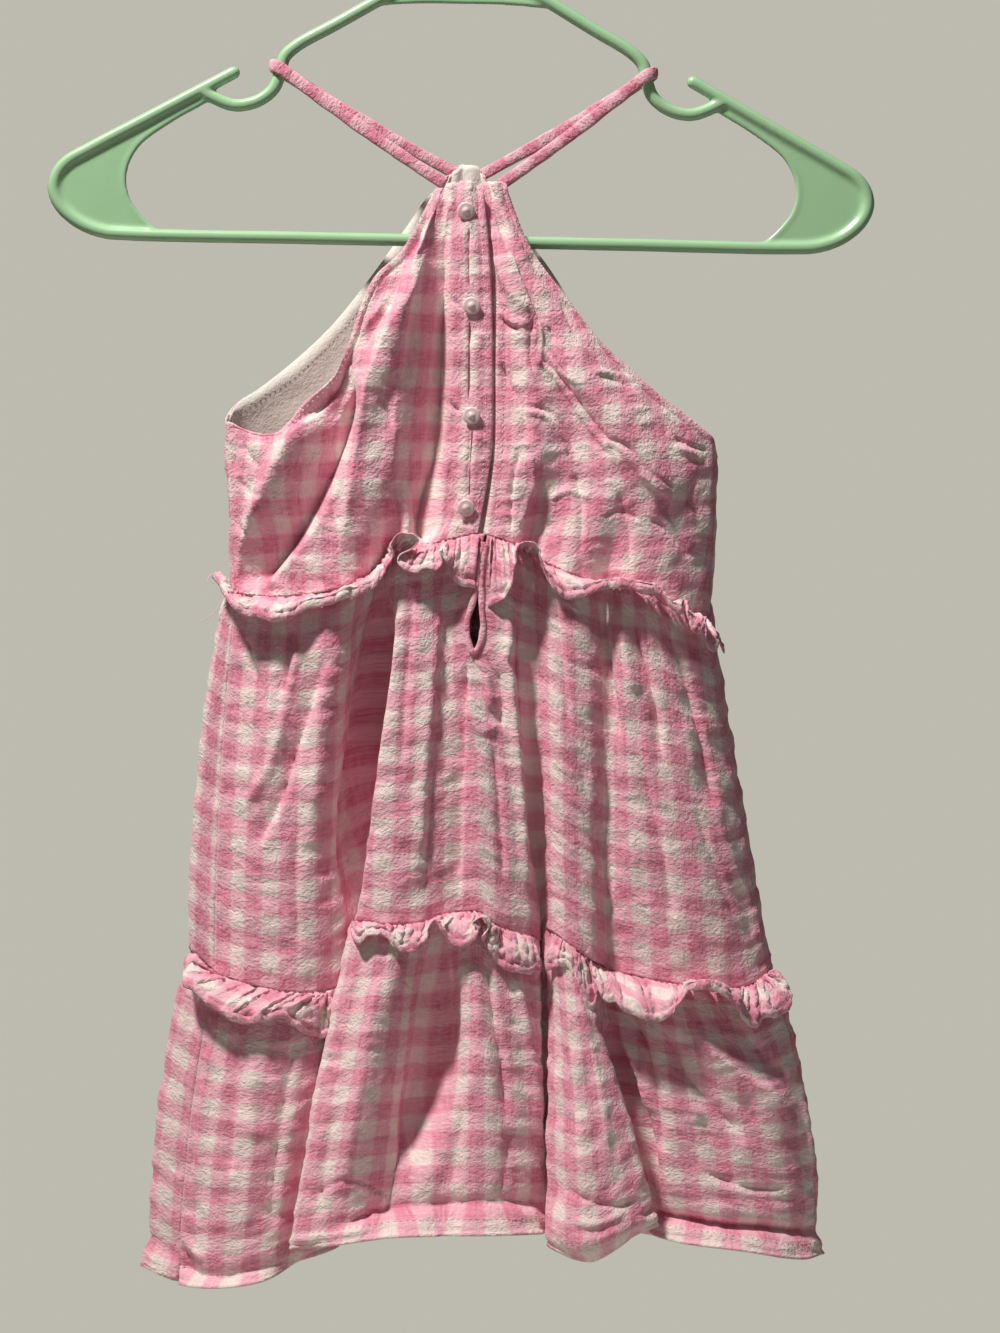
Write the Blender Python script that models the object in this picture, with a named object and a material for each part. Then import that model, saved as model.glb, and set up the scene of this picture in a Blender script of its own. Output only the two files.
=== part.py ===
# A child's gingham halter sundress on a plastic hanger, hung up with its buttoned side to the viewer.
# The tables are in millimetres. Across is measured from the middle of the hanger's bar, to the right
# as seen. Drop is measured down from the inner crown of the hook. Out is towards the viewer.

import math
from collections import namedtuple

import bmesh
import bpy
from mathutils import Matrix, Vector

MM = 0.001
TINY = 1e-6

CLOTH = 1.0              # wall of every piece of cloth
SEAM_GAP = 0.5           # each piece stops this far short of its seam line
LEAST_SLANT = 0.15       # keeps that pull finite where the seam runs nearly the same way
FOLD_PULL = 2.6          # and makes it longer at the bottom of a sharp fold
LAY_GAP = 0.4            # clear space between a piece and what lies on it
LINING_GAP = 0.7         # the same for the lining at the neck
LINING_FALL = 1.6        # how much further the lining stands off at the upper seam

HANGER_ROLL = math.radians(1.2)
BAR_DROP = 224.4
CROWN_ACROSS = BAR_DROP * math.tan(HANGER_ROLL)

TUBE = 3.25              # radius of the hanger's tubes
HOOK_INSIDE = 19.0       # inner radius of the hook
WEB = 2.0                # thickness of the plates in the hanger's corners
BEAD = 1.5               # radius of the rim along a plate's free edge

STRAP_WIDE = 6.0
STRAP_THICK = 1.2
STRAP_STEPS = 12         # steps round the loop
STRAP_RUN = 7            # and along each run
RUFFLE_TALL = 18.0
FLAT_OUT = 5.0           # a fold line nearer the middle than this doesn't swell
RUFFLE_ROOM = 0.6        # more space at a ruffle's seam, for the slant of its wall
BINDING = 0.8            # radius of the opening's rolled edge
RUFFLE_DIP = 3.0         # a ruffle goes this far into a fold of its seam at most
UPPER_FRONT_DIP = 1.0
SWELL = 3.0              # how far a fold stands out halfway down its tier
HEM_KICK = 1.5           # how far the turned hem stands out
HEM_START = 0.93         # share of the bottom tier where the hem begins
SLIT_FALL = 0.30         # share of the middle tier that the opening runs down
SLIT_LEFT = 9            # rows of the fold table that are the lips of the opening
SLIT_RIGHT = 10
ARMPIT = 0.62            # share of the bodice's height at the armpit


# Skirt folds of the button side, left to right. Each row is one fold line, as (across, drop, out) on
# the upper seam, on the lower seam and at the hem. Lean draws it aside beside the opening.
Fold = namedtuple("Fold", "upper lower hem lean")

BACK_FOLDS = (
    Fold((-111.5, 399.5, 3), (-122.5, 590, 8), (-140, 744.5, 8), 0),
    Fold((-99, 402, 10), (-107.5, 595.5, 16), (-122.5, 747.5, 22), 0),
    Fold((-80, 401.5, 16), (-82, 600, 22), (-102.5, 745, 26), 0),
    Fold((-55, 396, 18), (-61, 597, 14), (-80, 734.5, 13), 0),
    Fold((-37.5, 383.5, 10), (-46, 579, 1), (-60, 728.5, 3), 0),
    Fold((-34, 378.5, 16), (-53.5, 564.5, 22), (-85.5, 728.5, 32), 0),
    Fold((-27.5, 377, 20), (-37.5, 566, 29), (-65, 727, 42), 0),
    Fold((-15, 376, 20), (-21, 565, 29), (-35, 722.5, 44), 0),
    Fold((-5, 373.5, 16), (-4, 560.5, 23), (-10, 721.5, 37), -3),
    Fold((9, 370.5, 18), (10, 560, 27), (9, 721.5, 41), -6),
    Fold((14.5, 371.5, 18), (19, 567, 27), (22.5, 721, 38), -5),
    Fold((27.5, 376, 18), (36.5, 572, 20), (43, 719.5, 22), -1),
    Fold((33.5, 379.5, 10), (40.5, 576, 0), (48, 716, 4), 0),
    Fold((40, 383.5, 14), (44, 568.5, 14), (44.5, 727.5, 36), 0),
    Fold((50, 388.5, 20), (52.5, 574.5, 24), (65, 734.5, 50), 0),
    Fold((62.5, 393.5, 20), (65, 583.5, 22), (96, 717.5, 36), 0),
    Fold((72.5, 396.5, 14), (72.5, 587.5, 10), (90, 714.5, 10), 0),
    Fold((82.5, 397.5, 18), (90, 592.5, 18), (106, 722.5, 22), 0),
    Fold((97.5, 401, 18), (115, 597, 20), (140, 728.5, 26), 0),
    Fold((112.5, 407.5, 12), (137.5, 598, 14), (165, 732.5, 16), 0),
    Fold((123, 412.5, 3), (154, 589.5, 2), (177.5, 731, 2), 0),
)

# The same for the far side, from the right side back to the left.
FRONT_FOLDS = (
    Fold((125, 405, -4), (155.5, 586, -4), (178.5, 731, -4), 0),
    Fold((117.5, 399.5, -12), (147.5, 584.5, -13), (168, 733, -16), 0),
    Fold((98, 394.5, -18), (128, 582, -22), (146, 733, -30), 0),
    Fold((80, 392, -14), (101, 581, -12), (118, 731, -12), 0),
    Fold((58, 389, -18), (72, 580, -23), (80, 730, -31), 0),
    Fold((36, 387, -13), (46, 579, -11), (50, 729, -10), 0),
    Fold((12, 386, -17), (16, 578.5, -20), (14, 729, -25), 0),
    Fold((-12, 386, -14), (-12, 578.5, -13), (-16, 729, -14), 0),
    Fold((-32, 386.5, -18), (-42, 578.5, -24), (-50, 730, -32), 0),
    Fold((-58, 388.5, -13), (-72, 578.5, -12), (-82, 730.5, -11), 0),
    Fold((-84, 391, -17), (-97.5, 577.5, -21), (-108, 732.5, -28), 0),
    Fold((-107.5, 392.5, -12), (-122.5, 576, -13), (-141, 734.5, -15), 0),
    Fold((-115.5, 393.5, -3), (-134.5, 577, 0), (-155.5, 736.5, 0), 0),
)

SEAM_SPANS = ((4.75, 122), (10.5, 147))  # middle and half width of the two seams that carry a ruffle

BACK_COUNT = len(BACK_FOLDS)
RING_COUNT = BACK_COUNT + len(FRONT_FOLDS)
RIGHT_SIDE = BACK_COUNT - 1

# Bodice folds run from the neck down to the upper seam. Each row holds its points, as (share of the
# height, across, drop, out), and the place on the seam's ring where it lands. An edge keeps its corner.
Gather = namedtuple("Gather", "points lands edge")

BACK_LEFT_GATHERS = (
    Gather(((0, -12, 198.5, 6), (0.15, -29, 229, 8), (0.25, -43.5, 243.5, 9.5), (0.38, -58.5, 279.5, 12),
            (0.44, -64, 293, 12), (0.5, -77.5, 303.5, 11), (0.57, -93, 320.5, 10),
            (ARMPIT, -111, 318.5, 5), (0.8, -112, 353.5, 5)), 0, True),
    Gather(((0, -11, 197.5, 6.5), (0.15, -26.5, 231.5, 10), (0.38, -54, 284.5, 12.5),
            (ARMPIT, -85, 337.5, 12)), 1, False),
    Gather(((0, -9.5, 196.5, 8), (0.15, -23, 234.5, 14), (0.38, -38, 287.5, 18.5),
            (ARMPIT, -57.5, 338.5, 20)), 2, False),
    Gather(((0, -6.5, 195.5, 7.5), (0.15, -18, 234.5, 12), (0.38, -26, 288.5, 15),
            (ARMPIT, -37.5, 336, 16)), 3.2, False),
    Gather(((0, -3, 195, 7.5), (0.15, -13, 234.5, 8.5), (0.38, -17, 287.5, 10),
            (ARMPIT, -22.5, 334.5, 11.5)), 5.5, False),
    Gather(((0, 0, 195, 9), (0.15, -4, 234.5, 11.5), (0.38, -7, 286.5, 13.5),
            (ARMPIT, -8, 332.5, 15.5)), 7.6, False),
    Gather(((0, 6, 195.5, 10), (0.15, 6, 234.5, 12.5), (0.38, 6, 286.5, 14.5),
            (ARMPIT, 5, 332.5, 17)), 8.5, False),
    Gather(((0, 12, 201, 10), (0.15, 15, 234.5, 12), (0.38, 16.5, 286.5, 14),
            (ARMPIT, 15.5, 332.5, 16)), 9, False),
)

BACK_RIGHT_GATHERS = (
    Gather(((0, 8, 197, 5.6), (0.15, 17.5, 232.5, 9), (0.38, 18.5, 286.5, 13),
            (ARMPIT, 18, 332.5, 15)), 10, False),
    Gather(((0, 12, 196, 6.4), (0.15, 22.5, 234.5, 12), (0.38, 35.5, 283.5, 17),
            (ARMPIT, 35, 328.5, 20)), 11, False),
    Gather(((0, 15, 195.5, 6), (0.15, 26, 232.5, 10), (0.38, 44, 278.5, 14),
            (ARMPIT, 57.5, 328.5, 15)), 13.6, False),
    Gather(((0, 17.5, 195.5, 8), (0.15, 29.5, 230.5, 11.5), (0.38, 60, 281, 17),
            (ARMPIT, 82.5, 331, 20)), 16, False),
    Gather(((0, 20, 195.5, 7.5), (0.15, 32.5, 229.5, 9.5), (0.38, 72, 283, 13.5),
            (ARMPIT, 106, 331, 14)), 18.3, False),
    Gather(((0, 23, 198.5, 6), (0.15, 35, 228.5, 7.5), (0.25, 50, 248.5, 9), (0.38, 72.5, 275, 10),
            (0.44, 82, 285.5, 10), (0.5, 97.5, 299.5, 9), (0.57, 115, 313, 6.5),
            (ARMPIT, 126.5, 322.5, 3), (0.8, 126.5, 356, 3)), 20, True),
)

FRONT_GATHERS = (
    Gather(((0, -7.5, 192.5, -6), (0.15, -17.5, 213.5, -8), (0.25, -30, 231, -9.5), (0.38, -47.5, 257.5, -11),
            (0.44, -59, 273, -11), (0.5, -80, 291, -10), (0.57, -100, 304, -7),
            (ARMPIT, -111, 318.5, 5), (0.8, -112, 353.5, 5)), 34, True),
    Gather(((0, -6.5, 190.5, -7), (0.15, -14, 218, -9.5), (0.38, -42, 268, -12.5), (0.5, -76, 303, -12),
            (0.57, -99, 314, -9), (ARMPIT, -114.5, 324, -2), (0.8, -116, 353.5, -1)), 33, False),
    Gather(((0, -4, 188.5, -8), (0.15, -11, 226, -11), (0.38, -34, 280, -14), (0.5, -66, 312, -14.5),
            (ARMPIT, -103, 337, -11), (0.8, -106, 362, -12)), 32, False),
    Gather(((0, -2, 187, -7.5), (0.15, -5, 228, -10.5), (0.38, -20, 285, -14),
            (ARMPIT, -66, 335, -16)), 30.5, False),
    Gather(((0, 1, 185.5, -9), (0.15, 2, 228, -12), (0.38, 0, 286, -15.5),
            (ARMPIT, -15, 335, -17.5)), 28.6, False),
    Gather(((0, 6, 185, -8), (0.15, 8, 228, -11), (0.38, 18, 286, -14),
            (ARMPIT, 30, 335, -15.5)), 25.8, False),
    Gather(((0, 10, 186, -9), (0.15, 16, 226, -12), (0.38, 42, 280, -15),
            (ARMPIT, 68, 332, -16)), 24.6, False),
    Gather(((0, 13, 188.5, -8), (0.15, 22, 223, -10.5), (0.38, 62, 277, -13),
            (ARMPIT, 108, 332, -12.5)), 22.7, False),
    Gather(((0, 15, 191, -7), (0.15, 30, 222, -9), (0.38, 75, 279, -11), (0.5, 99, 302, -10),
            (0.57, 117, 317, -7), (ARMPIT, 127.5, 328, -3), (0.8, 128, 356, -3)), 21, False),
    Gather(((0, 16.5, 194, -6), (0.15, 34, 214, -8), (0.25, 51, 238, -9), (0.38, 74.5, 268, -9.5),
            (0.44, 84, 279.5, -9), (0.5, 99.5, 294, -8), (0.57, 118, 308.5, -4.5),
            (ARMPIT, 126.5, 322.5, 3), (0.8, 126.5, 356, 3)), 20, True),
)

BODICE_LEVELS = (0, 0.08, 0.15, 0.25, 0.32, 0.38, 0.44, 0.5, 0.57, ARMPIT, 0.72, 0.8, 0.91, 1)
MIDDLE_LEVELS = (0, 0.07, 0.16, SLIT_FALL, 0.5, 0.75, 1)
BOTTOM_LEVELS = (0, 0.08, 0.2, 0.36, 0.55, 0.76, HEM_START, 1)

# Buttons on the left half: the gather row and the share of the height that each sits at, and how far
# it leans down, in degrees.
Button = namedtuple("Button", "column fall lean")
BUTTONS = (Button(5.55, 0.055, 12), Button(5.9, 0.25, 8), Button(5.9, 0.515, 6), Button(5.9, 0.83, 14))
BUTTON_RADIUS = 4.4
# The button's outline as (radius, height).
BUTTON_OUTLINE = ((0, 0), (3.2, 0), (4.2, 0.4), (BUTTON_RADIUS, 0.9), (4.1, 1.4), (3, 1.8), (1.5, 2.2), (0.9, 2.6), (0, 2.75))

# Right half of the hanger in its own plane, as (across, drop). The left half mirrors it.
LOWER_TUBE = (
    (114.8, 142.5), (135, 153.7), (160, 167.6), (185, 181.4), (197.5, 189), (202.3, 195.5), (203.5, 203),
    (200, 211), (191, 218.8), (179, 223.4), (165, BAR_DROP), (80, BAR_DROP), (0, BAR_DROP),
)
YOKE = (
    (131, 151.5), (124, 155.5), (114, 158.8), (103.5, 156.8), (95, 150.5), (91.6, 142), (89.8, 134.5),
    (84, 128.6), (64, 117), (43, 104.6), (21, 91.8), (0, 79.5),
)
SHANK = ((0, 83), (0, 70), (0, 60), (1.5, 52), (6.5, 44.2))
CORNER_EDGE = ((128.5, 156.5), (147, 167.5), (162.5, 179.8), (168.5, 193), (167, 206), (158, 218), (150, BAR_DROP))
TOP_EDGE = ((46, 106.4), (23, 104.6), (0, 104.4))
CORNER_START = 126       # the corner plates take in the tube outward from here
HOOK_START = 138         # degrees round from the crown, clockwise
HOOK_END = -118
HOOK_STEP = 16

STRAP_LOOP = (91.3, 140.5)  # where a strap goes round the hanger's step, as (across, drop)
STRAP_RISE = 2.0            # the loop's middle rides up the step by this much
STRAP_SLACK = 0.6           # room for the step's slant inside the loop


def at(across, drop, out):
    return Vector((across, -out, -drop))


def placed(point):
    return (point - Vector((CROWN_ACROSS, 0, 0))) * MM


def rolled(across, drop, out=0.0):
    """A point of the hanger's own plane, turned about the hook's crown."""
    cos, sin = math.cos(HANGER_ROLL), math.sin(HANGER_ROLL)
    return at(CROWN_ACROSS + across * cos - drop * sin, across * sin + drop * cos, out)


def smooth(share):
    share = min(max(share, 0.0), 1.0)
    return share * share * (3 - 2 * share)


def spline(before, start, end, after, share):
    """Centripetal curve between start and end, which doesn't loop where rows lie close together."""
    gap_in = max((start - before).length, TINY) ** 0.5
    gap = max((end - start).length, TINY) ** 0.5
    gap_out = max((after - end).length, TINY) ** 0.5
    leave = ((start - before) / gap_in - (end - before) / (gap_in + gap) + (end - start) / gap) * gap
    arrive = ((end - start) / gap - (after - start) / (gap + gap_out) + (after - end) / gap_out) * gap
    squared = share * share
    cubed = squared * share
    return (start * (2 * cubed - 3 * squared + 1) + leave * (cubed - 2 * squared + share)
            + end * (3 * squared - 2 * cubed) + arrive * (cubed - squared))


def on_ring(rows, position):
    """A point on the closed curve through the rows, at a position counted in rows."""
    index = math.floor(position)
    four = [rows[(index + step) % len(rows)] for step in (-1, 0, 1, 2)]
    return spline(*four, position - index)


def on_line(rows, position):
    """A point on the open curve through the rows."""
    index = min(max(math.floor(position), 0), len(rows) - 2)
    start, end = rows[index], rows[index + 1]
    before = rows[index - 1] if index > 0 else start * 2 - end
    after = rows[index + 2] if index + 2 < len(rows) else end * 2 - start
    return spline(before, start, end, after, position - index)


def fold_point(fold, tier, fall):
    """One fold line at a share of its tier's height. Tier 0 is the middle one, tier 1 the bottom one."""
    top = Vector(fold[tier])
    bottom = Vector(fold[tier + 1])
    settle = 1.5 - 0.5 * top.x / 120 if tier == 0 else 1 + 1.2 * (top.x / 150) ** 2
    across_share = 1 - (1 - fall) ** settle
    swell = math.copysign(SWELL * math.sin(math.pi * fall) ** 0.8, top.z)
    lean = fold.lean * math.sin(math.pi * min(fall / (2 * SLIT_FALL), 1)) if tier == 0 else 0
    across = top.x + (bottom.x - top.x) * across_share + lean
    drop = top.y + (bottom.y - top.y) * fall
    out = top.z + (bottom.z - top.z) * fall + (0 if abs(top.z) < FLAT_OUT else swell)
    if tier == 1 and fall > HEM_START:
        out += math.copysign(HEM_KICK, bottom.z) * (fall - HEM_START) / (1 - HEM_START)
    return at(across, drop, out)


def skirt_point(tier, position, fall):
    rows = [fold_point(fold, tier, fall) for fold in BACK_FOLDS + FRONT_FOLDS]
    return on_ring(rows, position)


def gather_point(gather, fall):
    """One bodice fold at a share of its height, through its points and on to the seam."""
    knots = [(share, at(*place)) for share, *place in gather.points]
    knots.append((1, skirt_point(0, gather.lands, 0)))
    index = max(i for i, knot in enumerate(knots[:-1]) if fall >= knot[0])
    (low, start), (high, end) = knots[index], knots[index + 1]
    share = (fall - low) / (high - low)
    if gather.edge:
        return start.lerp(end, share)
    return on_line([point for _, point in knots], index + share)


def bodice_point(gathers, column, fall):
    rows = [gather_point(gather, fall) for gather in gathers]
    index = min(int(column), len(gathers) - 2)
    lands = gathers[index].lands + (gathers[index + 1].lands - gathers[index].lands) * (column - index)
    feet = [skirt_point(0, gather.lands, 0) for gather in gathers]
    strays = skirt_point(0, lands, 0) - on_line(feet, column)
    return on_line(rows, column) + strays * smooth((fall - 0.6) / 0.4)


def surface_frame(surface, first, second, reach=0.02):
    """A point of a surface with its normal towards the viewer."""
    point = surface(first, second)
    along = surface(first + reach, second) - surface(first - reach, second)
    down = surface(first, second + reach) - surface(first, second - reach)
    normal = along.cross(down).normalized()
    return point, normal if normal.y < 0 else -normal


def plastic_or_cloth(name, colour, roughness, alpha=1.0):
    material = bpy.data.materials.new(name)
    material.use_nodes = True
    shader = material.node_tree.nodes["Principled BSDF"]
    shader.inputs["Base Color"].default_value = (*colour, 1)
    shader.inputs["Roughness"].default_value = roughness
    shader.inputs["Metallic"].default_value = 0
    shader.inputs["Alpha"].default_value = alpha
    material.diffuse_color = (*colour, 1)
    return material


def add_object(name, data, material):
    data.materials.append(material)
    thing = bpy.data.objects.new(name, data)
    bpy.context.scene.collection.objects.link(thing)
    return thing


def draw_in(grid, left=True, right=True, top=True, bottom=True):
    """Pulls a piece's edges back from its seam lines."""
    def nearer(edge, inner, seam, turn=0.0):
        # A seam that runs nearly the way of the pull needs a longer one for the same gap, and so does
        # the bottom of a sharp fold.
        pull = (inner - edge).normalized()
        slant = max(pull.cross(seam.normalized()).length, LEAST_SLANT)
        return edge + pull * (SEAM_GAP / slant * (1 + FOLD_PULL * turn))

    def turn_at(edge, c):
        if c in (0, len(edge) - 1):
            return 0.0
        return 1 - (edge[c] - edge[c - 1]).normalized().dot((edge[c + 1] - edge[c]).normalized())

    down = Vector((0, 0, -1))
    for row in grid:
        if left:
            row[0] = nearer(row[0], row[1], down)
        if right:
            row[-1] = nearer(row[-1], row[-2], down)
    last = len(grid[0]) - 1
    for edge, inner, wanted in ((grid[0], grid[1], top), (grid[-1], grid[-2], bottom)):
        if wanted:
            seams = [edge[min(c + 1, last)] - edge[max(c - 1, 0)] for c in range(last + 1)]
            turns = [turn_at(edge, c) for c in range(last + 1)]
            edge[:] = [nearer(*four) for four in zip(edge, inner, seams, turns)]
    return grid


def cloth_piece(name, grid, material, faces_viewer, gap_column=None, gap_rows=0):
    """A wall of cloth through a grid of points. Faces of the gap column are left out in the top rows."""
    mesh = bmesh.new()
    rows = [[mesh.verts.new(placed(point)) for point in row] for row in grid]
    for r in range(len(rows) - 1):
        for c in range(len(rows[0]) - 1):
            if c == gap_column and r < gap_rows:
                continue
            mesh.faces.new((rows[r][c], rows[r + 1][c], rows[r + 1][c + 1], rows[r][c + 1]))
    mesh.normal_update()
    facing = sum(face.normal.y * face.calc_area() for face in mesh.faces)
    if (facing < 0) != faces_viewer:
        bmesh.ops.reverse_faces(mesh, faces=mesh.faces)
    data = bpy.data.meshes.new(name)
    mesh.to_mesh(data)
    mesh.free()
    thing = add_object(name, data, material)
    wall = thing.modifiers.new("wall", "SOLIDIFY")
    wall.thickness = CLOTH * MM
    wall.offset = 0
    wall.use_even_offset = False
    return thing


def stations(first, last, parts=2):
    """Positions from one row to another, with the same number of steps in each."""
    count = round((last - first) * parts)
    return [first + step / parts for step in range(count + 1)]


def add_tiers(material):
    back_columns = stations(0, SLIT_LEFT) + stations(SLIT_RIGHT, RIGHT_SIDE)
    front_columns = stations(RIGHT_SIDE, RING_COUNT)
    for tier, part, levels in ((0, "middle", MIDDLE_LEVELS), (1, "bottom", BOTTOM_LEVELS)):
        back = [[skirt_point(tier, column, fall) for column in back_columns] for fall in levels]
        front = [[skirt_point(tier, column, fall) for column in front_columns] for fall in levels]
        slit = len(stations(0, SLIT_LEFT)) - 1 if tier == 0 else None
        cloth_piece(f"{part}_tier_back", draw_in(back, bottom=tier == 0), material, True,
                    slit, MIDDLE_LEVELS.index(SLIT_FALL))
        cloth_piece(f"{part}_tier_front", draw_in(front, bottom=tier == 0), material, False)


def add_bodice(gingham, lining):
    pieces = (
        ("bodice_back_left", BACK_LEFT_GATHERS, True, True, False),
        ("bodice_back_right", BACK_RIGHT_GATHERS, True, False, True),
        ("bodice_front", FRONT_GATHERS, False, True, True),
    )
    for name, gathers, faces_viewer, left, right in pieces:
        columns = stations(0, len(gathers) - 1)
        grid = [[bodice_point(gathers, column, fall) for column in columns] for fall in BODICE_LEVELS]
        cloth_piece(name, draw_in(grid, left, right, False, True), gingham, faces_viewer)
    cloth_piece("bodice_front_lining", lining_grid(), lining, True)


def lining_grid():
    """The far bodice moved in. It keeps to the armhole edges and stays clear of the side seams."""
    last = len(FRONT_GATHERS) - 1
    grid = []
    for fall in BODICE_LEVELS[:-1] + (0.97,):
        inset = 0.25 + 1.35 * smooth((fall - 0.42) / 0.16)
        row = []
        for step in range(last * 2 - 3):
            column = inset + (last - 2 * inset) * step / (last * 2 - 4)
            point, normal = surface_frame(lambda c, f: bodice_point(FRONT_GATHERS, c, f), column, max(fall, 0.03))
            row.append(point + normal * (CLOTH + LINING_GAP + LINING_FALL * fall))
        grid.append(row)
    return grid


def outward(point, seam):
    """The level way out of the dress at a point of a seam, turning with its width and its depth."""
    middle, half = SEAM_SPANS[seam]
    return Vector(((point.x - middle) / half * 0.35, point.y / 20, 0)).normalized()


def ruffle_point(seam, position, width_share, angle, swing, front):
    """A gathered strip sewn on over a seam, standing off at an angle that swings along it."""
    rows = [Vector(at(*fold[seam])) for fold in BACK_FOLDS + FRONT_FOLDS]
    dip = UPPER_FRONT_DIP if front and seam == 0 else RUFFLE_DIP
    eased = []
    for index, row in enumerate(rows):
        around = (rows[index - 1].y + rows[(index + 1) % len(rows)].y) / 2
        depth = max(row.y, around - dip) if front else min(row.y, around + dip)
        eased.append(Vector((row.x, depth, row.z)))
    base = on_ring(rows, position)
    bridge = on_ring(eased, position).y
    base.y = max(base.y, bridge) if front else min(base.y, bridge)
    out = outward(base, seam)
    wave = math.sin(2.1 * position + 0.8 * math.sin(1.3 * position))
    lift = math.radians(angle + swing * wave)
    reach = RUFFLE_TALL * width_share
    side = Vector((-out.y, out.x, 0)) * (1.5 * math.cos(2.1 * position) * width_share)
    stand = CLOTH + LAY_GAP + RUFFLE_ROOM + reach * math.sin(lift)
    return base + out * stand + side - Vector((0, 0, reach * math.cos(lift)))


# The strips of the ruffles: which seam, first and last place on its ring, the angle that the strip
# stands off at, how far that swings, and the smaller angle at an end that goes into a deep fold.
Strip = namedtuple("Strip", "name seam first last angle swing tucked_first tucked_last front")
STRIPS = (
    Strip("upper_ruffle_back_left", 0, 0, 9, 46, 16, False, False, False),
    Strip("upper_ruffle_back_right", 0, 10, 20, 46, 16, False, False, False),
    Strip("upper_ruffle_front", 0, 20, 34, 44, 12, False, False, True),
    Strip("lower_ruffle_back_left", 1, 0, 2.8, 38, 14, False, True, False),
    Strip("lower_ruffle_back_middle", 1, 5, 11, 38, 14, False, True, False),
    Strip("lower_ruffle_back_right", 1, 13.5, 20, 38, 14, True, False, False),
    Strip("lower_ruffle_front", 1, 20, 34, 34, 12, False, False, True),
)
TUCKED_ANGLE = 24


def add_ruffles(material):
    for strip in STRIPS:
        columns = stations(strip.first, strip.last, 2 if strip.front else 3)
        columns[-1] = strip.last
        grid = []
        for share in (0, 0.45, 1):
            row = []
            for position in columns:
                into_fold = 0
                if strip.tucked_first:
                    into_fold = 1 - smooth(position - strip.first)
                if strip.tucked_last:
                    into_fold = max(into_fold, 1 - smooth(strip.last - position))
                angle = strip.angle + (TUCKED_ANGLE - strip.angle) * into_fold
                swing = strip.swing * (1 - into_fold)
                row.append(ruffle_point(strip.seam, position, share, angle, swing, strip.front))
            grid.append(row)
        cloth_piece(strip.name, draw_in(grid, top=False, bottom=False), material, not strip.front)


def add_binding(material):
    """A rolled edge round the lower end of the opening."""
    def lip(row, fall, inward):
        point, normal = surface_frame(lambda c, f: skirt_point(0, c, f), row + inward, fall)
        return point + normal * (CLOTH / 2 + LAY_GAP + BINDING)
    falls = (0.06, 0.11, 0.17, 0.23, 0.28, SLIT_FALL + 0.005)
    left = [lip(SLIT_LEFT, fall, -0.05) for fall in falls]
    right = [lip(SLIT_RIGHT, fall, 0.05) for fall in falls]
    end = lip(SLIT_LEFT, SLIT_FALL + 0.012, 0.5)
    add_tube("opening_binding", left + [end] + right[::-1], BINDING, material, 1)


def add_tube(name, points, radius, material, resolution=3, round_ends=False):
    """A tube along points, with its ends drawn in to a dome where they are free."""
    curve = bpy.data.curves.new(name, "CURVE")
    curve.dimensions = "3D"
    curve.bevel_depth = radius * MM
    curve.bevel_resolution = resolution
    curve.use_fill_caps = True
    line = curve.splines.new("POLY")
    widths = [1.0] * len(points)
    if round_ends:
        points, widths = domed(points, radius)
    line.points.add(len(points) - 1)
    for spot, point, width in zip(line.points, points, widths):
        spot.co = (*placed(point), 1)
        spot.radius = width
    return add_object(name, curve, material)


def domed(points, radius):
    """The same line with three more points at each end, narrowing like half a ball."""
    steps = ((0.5, 0.87), (0.85, 0.53), (0.97, 0.24))
    first = (points[0] - points[1]).normalized() * radius
    last = (points[-1] - points[-2]).normalized() * radius
    head = [(points[0] + first * reach, width) for reach, width in reversed(steps)]
    tail = [(points[-1] + last * reach, width) for reach, width in steps]
    whole = head + [(point, 1.0) for point in points] + tail
    return [point for point, _ in whole], [width for _, width in whole]


def both_sides(half):
    """A right half given as (across, drop), run from its left mirror image to itself."""
    left = [(-across, drop) for across, drop in half]
    return left + [spot for spot in reversed(half) if spot[0] > 0]


def through(spots, step):
    """Points along the smooth curve through the spots of the hanger's plane, step of them to a span."""
    points = [rolled(*spot) for spot in spots]
    return [on_line(points, index / step) for index in range((len(points) - 1) * step + 1)]


def as_mesh(thing):
    """Turns a curve object into a closed mesh object, as a Boolean needs."""
    graph = bpy.context.evaluated_depsgraph_get()
    data = bpy.data.meshes.new_from_object(thing.evaluated_get(graph))
    name = thing.name
    material = thing.data.materials[0]
    bpy.data.objects.remove(thing)
    data.materials.clear()
    mesh = bmesh.new()
    mesh.from_mesh(data)
    bmesh.ops.remove_doubles(mesh, verts=mesh.verts, dist=TINY)
    mesh.to_mesh(data)
    mesh.free()
    return add_object(name, data, material)


def add_plate(name, outline, material):
    mesh = bmesh.new()
    corners = [mesh.verts.new(placed(rolled(across, drop, WEB / 2))) for across, drop in outline]
    face = mesh.faces.new(corners)
    grown = bmesh.ops.extrude_face_region(mesh, geom=[face])
    moved = [item for item in grown["geom"] if isinstance(item, bmesh.types.BMVert)]
    bmesh.ops.translate(mesh, verts=moved, vec=Vector((0, WEB * MM, 0)))
    bmesh.ops.recalc_face_normals(mesh, faces=mesh.faces)
    data = bpy.data.meshes.new(name)
    mesh.to_mesh(data)
    mesh.free()
    return add_object(name, data, material)


def hook_spots():
    """The shank and the round of the hook, over its crown and down to its tip."""
    radius = HOOK_INSIDE + TUBE
    spots = list(SHANK)
    for turn in range(HOOK_START, HOOK_END - 1, -HOOK_STEP):
        angle = math.radians(turn)
        spots.append((radius * math.sin(angle), HOOK_INSIDE - radius * math.cos(angle)))
    return spots


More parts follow.
